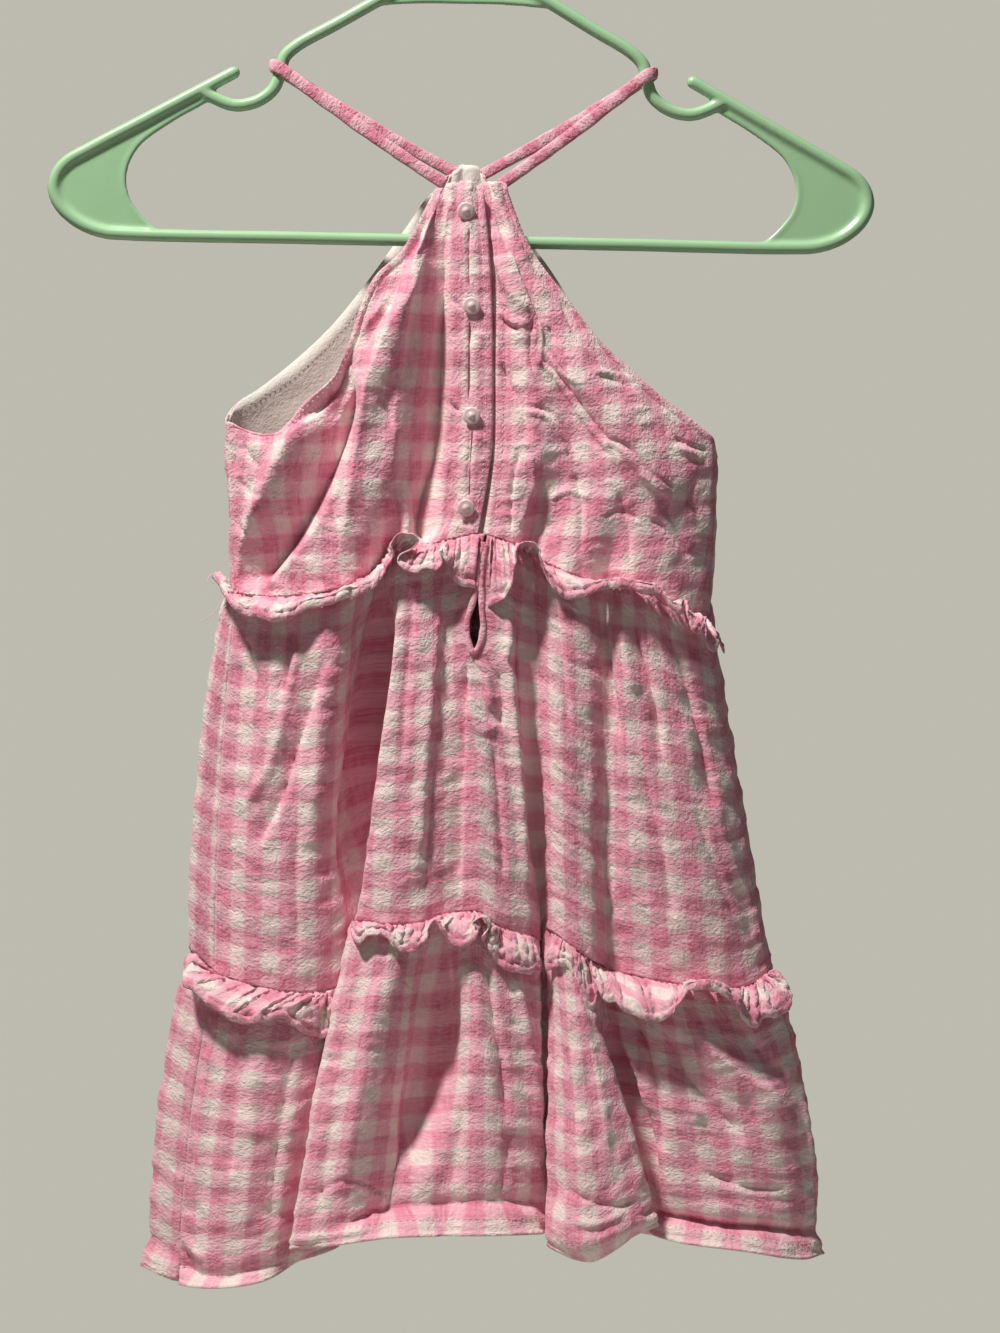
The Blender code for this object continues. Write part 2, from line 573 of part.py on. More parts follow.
def add_hanger(material):
    lower = both_sides(LOWER_TUBE)
    hanger = as_mesh(add_tube("hanger", through(lower, 2), TUBE, material, round_ends=True))
    corner = list(LOWER_TUBE[1:-2]) + [spot for spot in reversed(CORNER_EDGE)]
    corner = [spot for spot in corner if spot[0] > CORNER_START]
    corner_left = [(-across, drop) for across, drop in corner]
    top = [(0, 79.5), (43, 104.6), *TOP_EDGE, *((-across, drop) for across, drop in reversed(TOP_EDGE[:-1])),
           (-43, 104.6)]
    joined = [
        as_mesh(add_tube("hanger_yoke", through(both_sides(YOKE), 2), TUBE, material, round_ends=True)),
        as_mesh(add_tube("hanger_hook", through(hook_spots(), 1), TUBE, material, round_ends=True)),
        add_plate("hanger_corner_right", corner, material),
        add_plate("hanger_corner_left", corner_left, material),
        add_plate("hanger_top_plate", top, material),
        as_mesh(add_tube("hanger_rim_right", through(CORNER_EDGE, 2), BEAD, material, 2)),
        as_mesh(add_tube("hanger_rim_left", through([(-a, d) for a, d in CORNER_EDGE], 2), BEAD, material, 2)),
        as_mesh(add_tube("hanger_rim_top", through(both_sides(TOP_EDGE), 2), BEAD, material, 2)),
    ]
    for other in joined:
        other.hide_render = True
        other.display_type = "WIRE"
        join = hanger.modifiers.new(other.name, "BOOLEAN")
        join.operation = "UNION"
        join.solver = "MANIFOLD"  # the exact one leaves open edges where three tubes meet
        join.object = other


def add_strap(name, side, near_end, far_end, material):
    """A flat strap from the near neck, round the hanger's step and back down to the far neck."""
    centre = rolled(side * STRAP_LOOP[0], STRAP_LOOP[1])
    ring = TUBE + LAY_GAP + STRAP_SLACK + STRAP_THICK / 2
    near, far = at(*near_end), at(*far_end)
    path = []
    for step in range(STRAP_STEPS + 1):
        turn = math.radians(-90 + 180 * step / STRAP_STEPS)
        radial = Vector((side * math.cos(turn), math.sin(turn), 0))
        rise = STRAP_RISE * math.cos(turn)
        path.append((centre + radial * ring + Vector((0, 0, rise)), radial))
    start, end = path[0][0], path[-1][0]
    near_run = [(near.lerp(start, step / STRAP_RUN), Vector((0, -1, 0))) for step in range(STRAP_RUN)]
    far_run = [(end.lerp(far, (step + 1) / STRAP_RUN), Vector((0, 1, 0))) for step in range(STRAP_RUN)]
    add_ribbon(name, near_run + path + far_run, material)


def add_ribbon(name, path, material):
    """A flat band along a path of points, each with the way that its face looks."""
    outline = ((-0.5, 0), (-0.4, 0.5), (0.4, 0.5), (0.5, 0), (0.4, -0.5), (-0.4, -0.5))
    mesh = bmesh.new()
    rings = []
    for index, (point, face) in enumerate(path):
        before = path[max(index - 1, 0)][0]
        after = path[min(index + 1, len(path) - 1)][0]
        along = (after - before).normalized()
        wide = along.cross(face).normalized()
        thick = wide.cross(along).normalized()
        ring = [point + wide * (w * STRAP_WIDE) + thick * (t * STRAP_THICK) for w, t in outline]
        rings.append([mesh.verts.new(placed(corner)) for corner in ring])
    for first, second in zip(rings, rings[1:]):
        for index in range(len(outline)):
            other = (index + 1) % len(outline)
            mesh.faces.new((first[index], first[other], second[other], second[index]))
    mesh.faces.new(reversed(rings[0]))
    mesh.faces.new(rings[-1])
    bmesh.ops.recalc_face_normals(mesh, faces=mesh.faces)
    data = bpy.data.meshes.new(name)
    mesh.to_mesh(data)
    mesh.free()
    return add_object(name, data, material)


def add_buttons(material):
    for number, button in enumerate(BUTTONS, 1):
        point, normal = surface_frame(lambda c, f: bodice_point(BACK_LEFT_GATHERS, c, f), button.column, button.fall)
        mesh = bmesh.new()
        spots = [mesh.verts.new(Vector((radius, 0, height)) * MM) for radius, height in BUTTON_OUTLINE]
        edges = [mesh.edges.new(pair) for pair in zip(spots, spots[1:])]
        bmesh.ops.spin(mesh, geom=spots + edges, axis=(0, 0, 1), cent=(0, 0, 0), dvec=(0, 0, 0),
                       angle=math.tau, steps=20, use_duplicate=False)
        bmesh.ops.remove_doubles(mesh, verts=mesh.verts, dist=TINY)
        bmesh.ops.recalc_face_normals(mesh, faces=mesh.faces)
        data = bpy.data.meshes.new(f"button_{number}")
        mesh.to_mesh(data)
        mesh.free()
        for face in data.polygons:
            face.use_smooth = True
        thing = add_object(f"button_{number}", data, material)
        seat = placed(point + normal * (CLOTH / 2 + LAY_GAP))
        turned = normal.to_track_quat("Z", "Y").to_matrix()
        leaning = Matrix.Rotation(math.radians(button.lean), 3, "X")
        lift = BUTTON_RADIUS * math.sin(math.radians(button.lean)) * MM
        thing.matrix_world = Matrix.Translation(seat + normal * lift) @ (leaning @ turned).to_4x4()


def build():
    for old in list(bpy.data.objects):
        bpy.data.objects.remove(old)
    gingham = plastic_or_cloth("gingham cotton", (0.72, 0.33, 0.42), 0.85)
    white_cotton = plastic_or_cloth("white cotton lining", (0.78, 0.74, 0.70), 0.85)
    mint_plastic = plastic_or_cloth("mint green plastic", (0.27, 0.55, 0.31), 0.3)
    pearl_plastic = plastic_or_cloth("pearly button plastic", (0.80, 0.76, 0.74), 0.2)
    add_hanger(mint_plastic)
    add_bodice(gingham, white_cotton)
    add_tiers(gingham)
    add_ruffles(gingham)
    add_binding(gingham)
    add_strap("strap_left", -1, (-6.5, 199, 4.4), (-1.5, 190, -10.4), gingham)
    add_strap("strap_right", 1, (19.5, 199, 4.4), (11.5, 190, -10.7), gingham)
    add_buttons(pearl_plastic)


build()
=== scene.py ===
import math

import bpy
import numpy as np
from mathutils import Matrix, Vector


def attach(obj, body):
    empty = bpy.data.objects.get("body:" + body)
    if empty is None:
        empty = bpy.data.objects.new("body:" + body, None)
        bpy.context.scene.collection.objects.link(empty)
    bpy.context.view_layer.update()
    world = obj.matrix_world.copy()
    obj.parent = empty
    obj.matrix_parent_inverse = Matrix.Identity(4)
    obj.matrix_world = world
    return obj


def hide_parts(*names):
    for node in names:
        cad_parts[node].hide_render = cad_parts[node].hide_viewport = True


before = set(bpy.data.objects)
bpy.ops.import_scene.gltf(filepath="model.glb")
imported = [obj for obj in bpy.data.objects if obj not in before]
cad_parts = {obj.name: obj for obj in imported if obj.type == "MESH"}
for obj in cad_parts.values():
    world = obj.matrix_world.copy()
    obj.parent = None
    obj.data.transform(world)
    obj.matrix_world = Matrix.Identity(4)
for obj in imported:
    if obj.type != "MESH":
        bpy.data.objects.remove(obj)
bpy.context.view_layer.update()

# A gingham sundress on a plastic hanger, seen from its buttoned side.
# Cloth is shaped in millimetres as (across, drop, out): across from the middle of the hanger's bar,
# drop below the hook's crown, out towards the viewer. toRow turns that into the frame's metres.
# Places that were read off the picture are in its pixels, 1000 wide and 1333 high, half a millimetre each.

view = {
    "distance": 1600.0,   # mm from the lens to the middle of the hanger
    "sensor": 36.0,
    "centreX": 15.3,      # what the middle of the picture looks at, in mm
    "centreZ": -437.0,
    "tall": 666.5,        # mm that the picture's height spans there
}
crownAcross = 4.70        # the crown's place from the middle of the bar


def toRow(points):
    # nearer cloth looks larger, so it is drawn in a little towards the middle of the view
    across, drop, out = points[..., 0], points[..., 1], points[..., 2]
    shrink = 1 - np.maximum(out, 0) / view["distance"]
    x = view["centreX"] + (across - crownAcross - view["centreX"]) * shrink
    z = view["centreZ"] + (-drop - view["centreZ"]) * shrink
    return np.stack([x, -out, z], -1) * 0.001


def fromPicture(px, py, out):
    return np.stack([(np.asarray(px, float) - 460) / 2, (np.asarray(py, float) + 207) / 2,
                     np.asarray(out, float)], -1)


def picturePlace(points):
    return points[..., 0] * 2 + 460, points[..., 1] * 2 - 207


def ease(share):
    share = np.clip(share, 0, 1)
    return share * share * (3 - 2 * share)


# curves and soft random waves

def between(before, start, end, after, share):
    def gap(a, b):
        return np.maximum(np.linalg.norm(b - a, axis=-1, keepdims=True), 1e-6) ** 0.5
    share = share[..., None]
    first, middle, last = gap(before, start), gap(start, end), gap(end, after)
    leave = ((start - before) / first - (end - before) / (first + middle) + (end - start) / middle) * middle
    arrive = ((end - start) / middle - (after - start) / (middle + last) + (after - end) / last) * middle
    squared = share * share
    cubed = squared * share
    return (start * (2 * cubed - 3 * squared + 1) + leave * (cubed - 2 * squared + share)
            + end * (3 * squared - 2 * cubed) + arrive * (cubed - squared))


def alongRing(rows, places):
    # rows is (..., count, size); the curve closes on itself
    count = rows.shape[-2]
    index = np.floor(places).astype(int)
    four = [rows[..., (index + step) % count, :] for step in (-1, 0, 1, 2)]
    return between(*four, places - index)


def alongLine(rows, places):
    count = rows.shape[-2]
    index = np.clip(np.floor(places).astype(int), 0, count - 2)
    head = rows[..., :1, :] * 2 - rows[..., 1:2, :]
    tail = rows[..., -1:, :] * 2 - rows[..., -2:-1, :]
    padded = np.concatenate([head, rows, tail], -2)
    four = [padded[..., index + step, :] for step in (0, 1, 2, 3)]
    return between(*four, places - index)


def wave(x, length, seed):
    table = np.random.default_rng(seed).uniform(-1, 1, 997)
    place = np.asarray(x) / length + 300
    index = np.floor(place).astype(int)
    share = ease(place - index)
    return table[index % 997] * (1 - share) + table[(index + 1) % 997] * share


def ripple(x, y, lengthX, lengthY, seed):
    table = np.random.default_rng(seed).uniform(-1, 1, (199, 211))
    a, b = x / lengthX + 300, y / lengthY + 300
    i, j = np.floor(a).astype(int), np.floor(b).astype(int)
    s, t = ease(a - i), ease(b - j)
    low = table[i % 199, j % 211] * (1 - s) + table[(i + 1) % 199, j % 211] * s
    high = table[i % 199, (j + 1) % 211] * (1 - s) + table[(i + 1) % 199, (j + 1) % 211] * s
    return low * (1 - t) + high * t


def lengthsAlong(points, axis):
    step = np.linalg.norm(np.diff(points, axis=axis), axis=-1)
    start = np.zeros_like(np.take(step, [0], axis))
    return np.concatenate([start, np.cumsum(step, axis)], axis)


def outwardNormals(points, towardViewer):
    normal = np.cross(np.gradient(points, axis=1), np.gradient(points, axis=0))
    normal /= np.maximum(np.linalg.norm(normal, axis=-1, keepdims=True), 1e-9)
    if (normal[..., 2].mean() > 0) != towardViewer:
        normal = -normal
    return normal


def pushed(points, amount, towardViewer=True):
    return points + outwardNormals(points, towardViewer) * amount[..., None]


def creases(points, lines):
    # each line is (height, reach to its left, reach to its right, places in the picture), all in pixels
    # but the height in mm. Unequal reaches make one side of a fold steep.
    px, py = picturePlace(points)
    total = np.zeros(px.shape)
    for height, left, right, path in lines:
        path = np.array(path, float)
        fine = alongLine(path[None], np.linspace(0, len(path) - 1, (len(path) - 1) * 5 + 1))[0]
        best, side, share = np.full(px.shape, 1e9), np.zeros(px.shape), np.zeros(px.shape)
        count = len(fine) - 1
        for step in range(count):
            (ax, ay), (bx, by) = fine[step], fine[step + 1]
            dx, dy = bx - ax, by - ay
            t = np.clip(((px - ax) * dx + (py - ay) * dy) / max(dx * dx + dy * dy, 1e-9), 0, 1)
            ex, ey = px - ax - dx * t, py - ay - dy * t
            far = np.hypot(ex, ey)
            closer = far < best
            best = np.where(closer, far, best)
            side = np.where(closer, ex * dy - ey * dx, side)
            share = np.where(closer, (step + t) / count, share)
        # large folds are sharper, and fade in and out over more of their length
        power, fadeIn, fadeOut = (1.15, 0.24, 0.3) if abs(height) > 5 else (1.4, 0.16, 0.16)
        tent = np.clip(1 - best / np.where(side > 0, right, left), 0, 1) ** power
        total += height * tent * ease(share / fadeIn) * ease((1 - share) / fadeOut)
    return total


def fromSides(grid):
    return np.minimum(lengthsAlong(grid, 1), lengthsAlong(grid[:, ::-1], 1)[:, ::-1])


def fromFoot(grid):
    return lengthsAlong(grid[::-1], 0)[::-1]


def bell(distance, width):
    return np.exp(-(distance / width) ** 2)


# materials

def fromHex(text):
    def linear(channel):
        channel = int(channel, 16) / 255
        return channel / 12.92 if channel <= 0.04045 else ((channel + 0.055) / 1.055) ** 2.4
    return (linear(text[1:3]), linear(text[3:5]), linear(text[5:7]), 1.0)


def addNode(tree, kind, settings=None, inputs=None):
    # an input takes a value, another node's socket, or a node, whose first socket is then linked
    node = tree.nodes.new("ShaderNode" + kind)
    for name, value in (settings or {}).items():
        setattr(node, name, value)
    for name, value in (inputs or {}).items():
        if isinstance(value, bpy.types.Node):
            value = value.outputs[0]
        if isinstance(value, bpy.types.NodeSocket):
            tree.links.new(value, node.inputs[name])
        else:
            node.inputs[name].default_value = value
    return node


def newMaterial(name, inputs):
    material = bpy.data.materials.new(name)
    material.use_nodes = True
    tree = material.node_tree
    tree.nodes.clear()
    shader = addNode(tree, "BsdfPrincipled", inputs=inputs)
    addNode(tree, "OutputMaterial", inputs={"Surface": shader})
    return material, tree, shader


def flatCloth(tree, perMetreAcross, perMetreDown):
    # the piece as it lay before sewing, in metres, times the scales
    laid = addNode(tree, "UVMap", {"uv_map": "flatCloth"})
    return addNode(tree, "Mapping", inputs={"Vector": laid, "Scale": (perMetreAcross, perMetreDown, 1)})


def speckles(tree, uneven, floor, gain, most):
    # a share that grows where the cloth's unevenness rises above a floor
    over = addNode(tree, "Math", {"operation": "SUBTRACT"}, {0: uneven, 1: floor})
    share = addNode(tree, "Math", {"operation": "MULTIPLY", "use_clamp": True}, {0: over, 1: gain})
    return addNode(tree, "Math", {"operation": "MULTIPLY"}, {0: share, 1: most})


def crinkleBump(tree, shader, height, softness=1.0):
    # cotton crepe: wrinkles of 3 to 6 mm that lie across the piece, with finer ones between them
    broad = addNode(tree, "TexNoise", inputs={
        "Scale": 1.0, "Detail": 3.0, "Roughness": 0.55, "Distortion": 0.7,
        "Vector": flatCloth(tree, 215, 270)})
    fine = addNode(tree, "TexNoise", inputs={
        "Scale": 1.0, "Detail": 2.0, "Roughness": 0.6, "Distortion": 0.3,
        "Vector": flatCloth(tree, 600, 680)})
    less = addNode(tree, "Math", {"operation": "MULTIPLY"}, {0: fine, 1: 0.7})
    both = addNode(tree, "Math", {"operation": "ADD"}, {0: broad, 1: less})
    bump = addNode(tree, "Bump", inputs={
        "Strength": 0.9 * softness, "Distance": height * 0.001, "Height": both})
    tree.links.new(bump.outputs[0], shader.inputs["Normal"])


mixing = {"data_type": "RGBA", "clamp_factor": True}    # for each mix of two colours
gingham = {
    "check": 9.1,           # mm, the width of one stripe of the check
    "white": "#F2DFDC",     # bleached yarn over bleached yarn
    "half": "#F0ADC1",      # pink one way only
    "full": "#E17B9C",      # pink both ways
    "slub": "#FFFDF8",      # a thick bleached thread
    "paintedCrinkleShade": "#E58FAE",     # painted shade of the crinkles: darker pink in random patches
    "paintedCrinkleLight": "#EFBCC9",    # painted light and shade of the lit crinkles, which blurs the check in random spots
    "wander": 2.1,          # mm that the stripes stray by, as in crinkled cloth
    "crinkle": 1.15,        # mm, height of the crepe's fine wrinkles in the bump
}


def makeGingham():
    # Woven cotton, crinkle finished: matt, with a soft nap that lightens at the edges.
    material, tree, shader = newMaterial("woven gingham cotton", {
        "Roughness": 0.88, "IOR": 1.46, "Specular IOR Level": 0.25,
        "Sheen Weight": 0.28, "Sheen Roughness": 0.6})
    stray = addNode(tree, "TexNoise", inputs={
        "Scale": 1.0, "Detail": 4.0, "Roughness": 0.6, "Vector": flatCloth(tree, 105, 125)})
    centred = addNode(tree, "VectorMath", {"operation": "SUBTRACT"},
                      {0: stray.outputs["Color"], 1: (0.5, 0.5, 0.5)})
    shift = addNode(tree, "VectorMath", {"operation": "SCALE"}, {
        0: centred, "Scale": 0.002 * gingham["wander"]})
    place = addNode(tree, "VectorMath", {"operation": "ADD"}, {0: flatCloth(tree, 1, 1), 1: shift})
    parts = addNode(tree, "SeparateXYZ", inputs={0: place})
    stripes = []
    for axis in ("X", "Y"):
        turn = addNode(tree, "Math", {"operation": "MULTIPLY"}, {
            0: parts.outputs[axis], 1: math.pi / (gingham["check"] * 0.001)})
        swing = addNode(tree, "Math", {"operation": "SINE"}, {0: turn})
        steep = addNode(tree, "Math", {"operation": "MULTIPLY"}, {0: swing, 1: 1.5})
        stripes.append(addNode(tree, "Math", {"operation": "ADD", "use_clamp": True}, {0: steep, 1: 0.5}))
    both = addNode(tree, "Math", {"operation": "ADD"}, dict(enumerate(stripes)))
    depth = addNode(tree, "Math", {"operation": "MULTIPLY"}, {0: both, 1: 0.5})
    ramp = addNode(tree, "ValToRGB", inputs={"Fac": depth})
    ramp.color_ramp.elements.new(0.5)
    for element, name in zip(ramp.color_ramp.elements, ("white", "half", "full")):
        element.color = fromHex(gingham[name])
    # slubs: single thicker threads, drawn 1 mm apart because the real 0.4 mm is finer than the picture
    threadWays = ((900, 90), (90, 900))
    warp, weft = (addNode(tree, "TexNoise", inputs={
        "Scale": 1.0, "Detail": 2.0, "Vector": flatCloth(tree, *scales)}) for scales in threadWays)
    woven = addNode(tree, "Math", {"operation": "ADD"}, {0: warp, 1: weft})
    slub = speckles(tree, woven, 0.82, 1.5, 0.34)
    slubbed = addNode(tree, "Mix", mixing, {0: slub, 6: ramp, 7: fromHex(gingham["slub"])})
    # darker pink in random patches: painted shade of the crinkles
    patches = addNode(tree, "TexNoise", inputs={
        "Scale": 1.0, "Detail": 3.0, "Vector": flatCloth(tree, 150, 210)})
    crinkleShadedColour = addNode(tree, "Mix", {**mixing, "blend_type": "MULTIPLY"}, {
        0: speckles(tree, patches, 0.5, 1.8, 0.3), 6: slubbed.outputs[2], 7: fromHex(gingham["paintedCrinkleShade"])})
    # paler pink in random spots: painted light and shade of the lit crinkles, blurring the check
    crinkleLightNoise = addNode(tree, "TexNoise", inputs={
        "Scale": 1.0, "Detail": 4.0, "Roughness": 0.65, "Vector": flatCloth(tree, 260, 230)})
    crinkleLitColour = addNode(tree, "Mix", mixing, {
        0: speckles(tree, crinkleLightNoise, 0.44, 3.2, 0.42), 6: crinkleShadedColour.outputs[2], 7: fromHex(gingham["paintedCrinkleLight"])})
    tree.links.new(crinkleLitColour.outputs[2], shader.inputs["Base Color"])
    crinkleBump(tree, shader, gingham["crinkle"])
    return material


def makeLining():
    # Plain bleached cotton, softer and flatter than the check.
    material, tree, shader = newMaterial("plain white cotton", {
        "Roughness": 0.9, "IOR": 1.46, "Specular IOR Level": 0.2,
        "Sheen Weight": 0.2, "Sheen Roughness": 0.6})
    cloud = addNode(tree, "TexNoise", inputs={
        "Scale": 1.0, "Detail": 3.0, "Vector": flatCloth(tree, 120, 160)})
    colour = addNode(tree, "Mix", mixing, {0: cloud, 6: fromHex("#F3EFEA"), 7: fromHex("#E6DFD8")})
    tree.links.new(colour.outputs[2], shader.inputs["Base Color"])
    crinkleBump(tree, shader, 0.5, 0.7)
    return material


def makeThread(name, colour, paintedPlyShade):
    # Spun polyester sewing thread, two plies: a little shine; the colour turns darker in random spots,
    # painted shade for the grooves between the plies.
    material, tree, shader = newMaterial(name, {"Roughness": 0.55, "IOR": 1.5, "Sheen Weight": 0.2})
    solid = addNode(tree, "TexCoord").outputs["Object"]
    plies = addNode(tree, "TexNoise", inputs={"Scale": 900.0, "Detail": 1.0, "Vector": solid})
    # the second colour is painted shade between the plies
    mixed = addNode(tree, "Mix", mixing, {0: plies, 6: fromHex(colour), 7: fromHex(paintedPlyShade)})
    tree.links.new(mixed.outputs[2], shader.inputs["Base Color"])
    return material


def makeHangerPlastic():
    # Polypropylene, injection moulded: glossy and waxy, with faint flow marks and a few scuffs.
    material, tree, shader = newMaterial("moulded polypropylene", {
        "IOR": 1.49, "Subsurface Weight": 0.12, "Subsurface Radius": (0.004, 0.006, 0.004),
        "Coat Weight": 0.15, "Coat Roughness": 0.12})
    solid = addNode(tree, "TexCoord").outputs["Object"]
    flow = addNode(tree, "TexNoise", inputs={"Scale": 28.0, "Detail": 3.0, "Vector": solid})
    colour = addNode(tree, "Mix", mixing, {0: flow, 6: fromHex("#A3CFA4"), 7: fromHex("#ADD8AD")})
    tree.links.new(colour.outputs[2], shader.inputs["Base Color"])
    scuffs = addNode(tree, "TexNoise", inputs={
        "Scale": 160.0, "Detail": 4.0, "Roughness": 0.7, "Vector": solid})
    faint = addNode(tree, "Math", {"operation": "MULTIPLY"}, {0: scuffs, 1: 0.22})
    rough = addNode(tree, "Math", {"operation": "ADD"}, {0: faint, 1: 0.2})
    tree.links.new(rough.outputs[0], shader.inputs["Roughness"])
    bump = addNode(tree, "Bump", inputs={"Strength": 0.15, "Distance": 0.0003, "Height": scuffs})
    tree.links.new(bump.outputs[0], shader.inputs["Normal"])
    return material


def makeButtonPlastic():
    # Cast polyester resin: milky, lets some light in, with a pearl bloom and a sharp highlight.
    material, tree, shader = newMaterial("pearly cast resin", {
        "Roughness": 0.3, "IOR": 1.5, "Subsurface Weight": 0.8, "Subsurface Radius": (0.006, 0.005, 0.005),
        "Coat Weight": 0.2, "Coat Roughness": 0.1})
    solid = addNode(tree, "TexCoord").outputs["Object"]
    bloom = addNode(tree, "TexNoise", inputs={"Scale": 420.0, "Detail": 2.0, "Vector": solid})
    colour = addNode(tree, "Mix", mixing, {0: bloom, 6: fromHex("#F8E6E6"), 7: fromHex("#F1D6DA")})
    tree.links.new(colour.outputs[2], shader.inputs["Base Color"])
    return material


checkedCotton = makeGingham()
whiteCotton = makeLining()
# the second colour of each thread is painted shade between its plies
darkThread = makeThread("rose sewing thread", "#BE4A78", "#9A3560")
softThread = makeThread("pink sewing thread", "#EFAFC4", "#DF97B1")
paleThread = makeThread("white sewing thread", "#F7F1EC", "#DCD2CA")
mintPlastic = makeHangerPlastic()
pearlResin = makeButtonPlastic()
print("materials made")


# meshes

def newObject(name, verts, faces, material, uv=None, smooth=True):
    mesh = bpy.data.meshes.new(name)
    mesh.from_pydata(np.asarray(verts, float).reshape(-1, 3).tolist(), [],
                     faces.tolist() if isinstance(faces, np.ndarray) else [tuple(face) for face in faces])
    if uv is not None:
        layer = mesh.uv_layers.new(name="flatCloth")
        corners = np.empty(len(mesh.loops), np.int32)
        mesh.loops.foreach_get("vertex_index", corners)
        layer.data.foreach_set("uv", np.asarray(uv, np.float32).reshape(-1, 2)[corners].ravel())
    mesh.polygons.foreach_set("use_smooth", np.full(len(mesh.polygons), smooth))
    mesh.materials.append(material)
    mesh.update()
    thing = bpy.data.objects.new(name, mesh)
    bpy.context.scene.collection.objects.link(thing)
    return thing


def addWall(thing, thick, offset=0):
    wall = thing.modifiers.new("wall", "SOLIDIFY")
    wall.thickness = thick
    wall.offset = offset


def clothPiece(name, points, u, v, thick, material, cut=None):
    # points is a grid in mm; u and v are the flat cloth in mm; cut marks cells that are left out
    rows, columns = points.shape[:2]
    index = np.arange(rows * columns).reshape(rows, columns)
    quads = np.stack([index[:-1, :-1], index[1:, :-1], index[1:, 1:], index[:-1, 1:]], -1)
    if cut is not None:
        quads = quads[~cut]
    thing = newObject(name, toRow(points), quads.reshape(-1, 4), material, np.stack([u, v], -1) * 0.001)
    addWall(thing, thick * 0.001)
    return thing


def declare(thing, node=None):
    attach(thing, "root")
    if node:
        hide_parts(node)


def sweep(path, wide, thick, facing, sides):
    # a rounded band along a path in metres, and its two end faces; facing is the way its flat side looks
    along = np.gradient(path, axis=0)
    along /= np.maximum(np.linalg.norm(along, axis=1, keepdims=True), 1e-12)
    acrossWay = np.cross(along, facing)
    acrossWay /= np.maximum(np.linalg.norm(acrossWay, axis=1, keepdims=True), 1e-12)
    up = np.cross(acrossWay, along)
    turns = np.linspace(0, math.tau, sides, endpoint=False)[None, :, None]
    wide, thick = (np.broadcast_to(size, (len(path),))[:, None, None] / 2 for size in (wide, thick))
    verts = path[:, None] + acrossWay[:, None] * np.cos(turns) * wide + up[:, None] * np.sin(turns) * thick
    faces = [(step + k, step + (k + 1) % sides, step + sides + (k + 1) % sides, step + sides + k)
             for step in range(0, (len(path) - 1) * sides, sides) for k in range(sides)]
    last = (len(path) - 1) * sides
    return verts.reshape(-1, 3), faces, [tuple(range(sides))[::-1], tuple(range(last, last + sides))]


def threadAlong(name, path, radius, material, sides):
    along = np.gradient(path, axis=0)
    helper = np.where(np.abs(along[:, :1]) > np.abs(along[:, 2:]), [[0.0, 0.0, 1.0]], [[0.0, 1.0, 0.0]])
    helper = np.cross(along, np.cross(helper, along))
    verts, faces, ends = sweep(path, radius * 2, radius * 2, helper, sides)
    declare(newObject(name, verts, faces + ends, material))


def rolledCloth(name, path, facing, wide, thick, sides, cut, tension, wall):
    # a turned tube of the check; cut is where its flat cloth starts and how far it goes across, in metres
    far = lengthsAlong(path[None], 1)[0]
    verts, faces, _ = sweep(path, wide, thick, facing, sides)
    across = cut[0] + cut[1] * np.abs(np.linspace(0, 1, sides, endpoint=False) * 2 - 1)
    uv = np.stack(np.broadcast_arrays(across[None], far[:, None] * tension), -1)
    roll = newObject(name, verts, faces, checkedCotton, uv)
    addWall(roll, wall, -1)
    return roll


def stitchRun(name, runs, stitch, gap, radius, material):
    # runs is a list of (points, outward normals) in metres; each stitch is a small spindle on the cloth
    verts, faces = [], []
    for points, normals in runs:
        far = lengthsAlong(points[None], 1)[0]

        def at(values, where):
            return np.array([np.interp(where, far, values[:, k]) for k in range(3)])

        for start in np.arange(gap, far[-1] - stitch, stitch + gap):
            first, middle, last = (at(points, start + stitch * share) for share in (0, 0.5, 1))
            normal = at(normals, start + stitch / 2)
            normal /= max(np.linalg.norm(normal), 1e-9)
            side = np.cross(last - first, normal)
            side /= max(np.linalg.norm(side), 1e-9)
            base = len(verts)
            verts.append(first - normal * radius * 0.6)
            for dx, dy in ((1, 0), (0, 1), (-1, 0), (0, -1)):
                verts.append(middle + side * radius * dx + normal * radius * (dy + 0.5))
            verts.append(last - normal * radius * 0.6)
            for k in range(1, 5):
                other = k % 4 + 1
                faces += [(base, base + other, base + k), (base + 5, base + k, base + other)]
    declare(newObject(name, verts, faces, material, smooth=False))


def onSurface(points, lift, towardViewer=True):
    # a cloth grid with its outward normals, lifted clear of the cloth, in metres
    normals = outwardNormals(points, towardViewer)
    turned = np.stack([normals[..., 0], -normals[..., 2], -normals[..., 1]], -1)
    return toRow(points + normals * lift), turned


def nearest(grid, px, py):
    gx, gy = picturePlace(grid)
    return divmod(int(np.argmin((gx - px) ** 2 + (gy - py) ** 2)), gx.shape[1])


# the skirt's fold lines, left to right on the buttoned side and back along the far side:
# (across, drop, out) on the upper seam, on the lower seam and at the hem, and a lean beside the opening

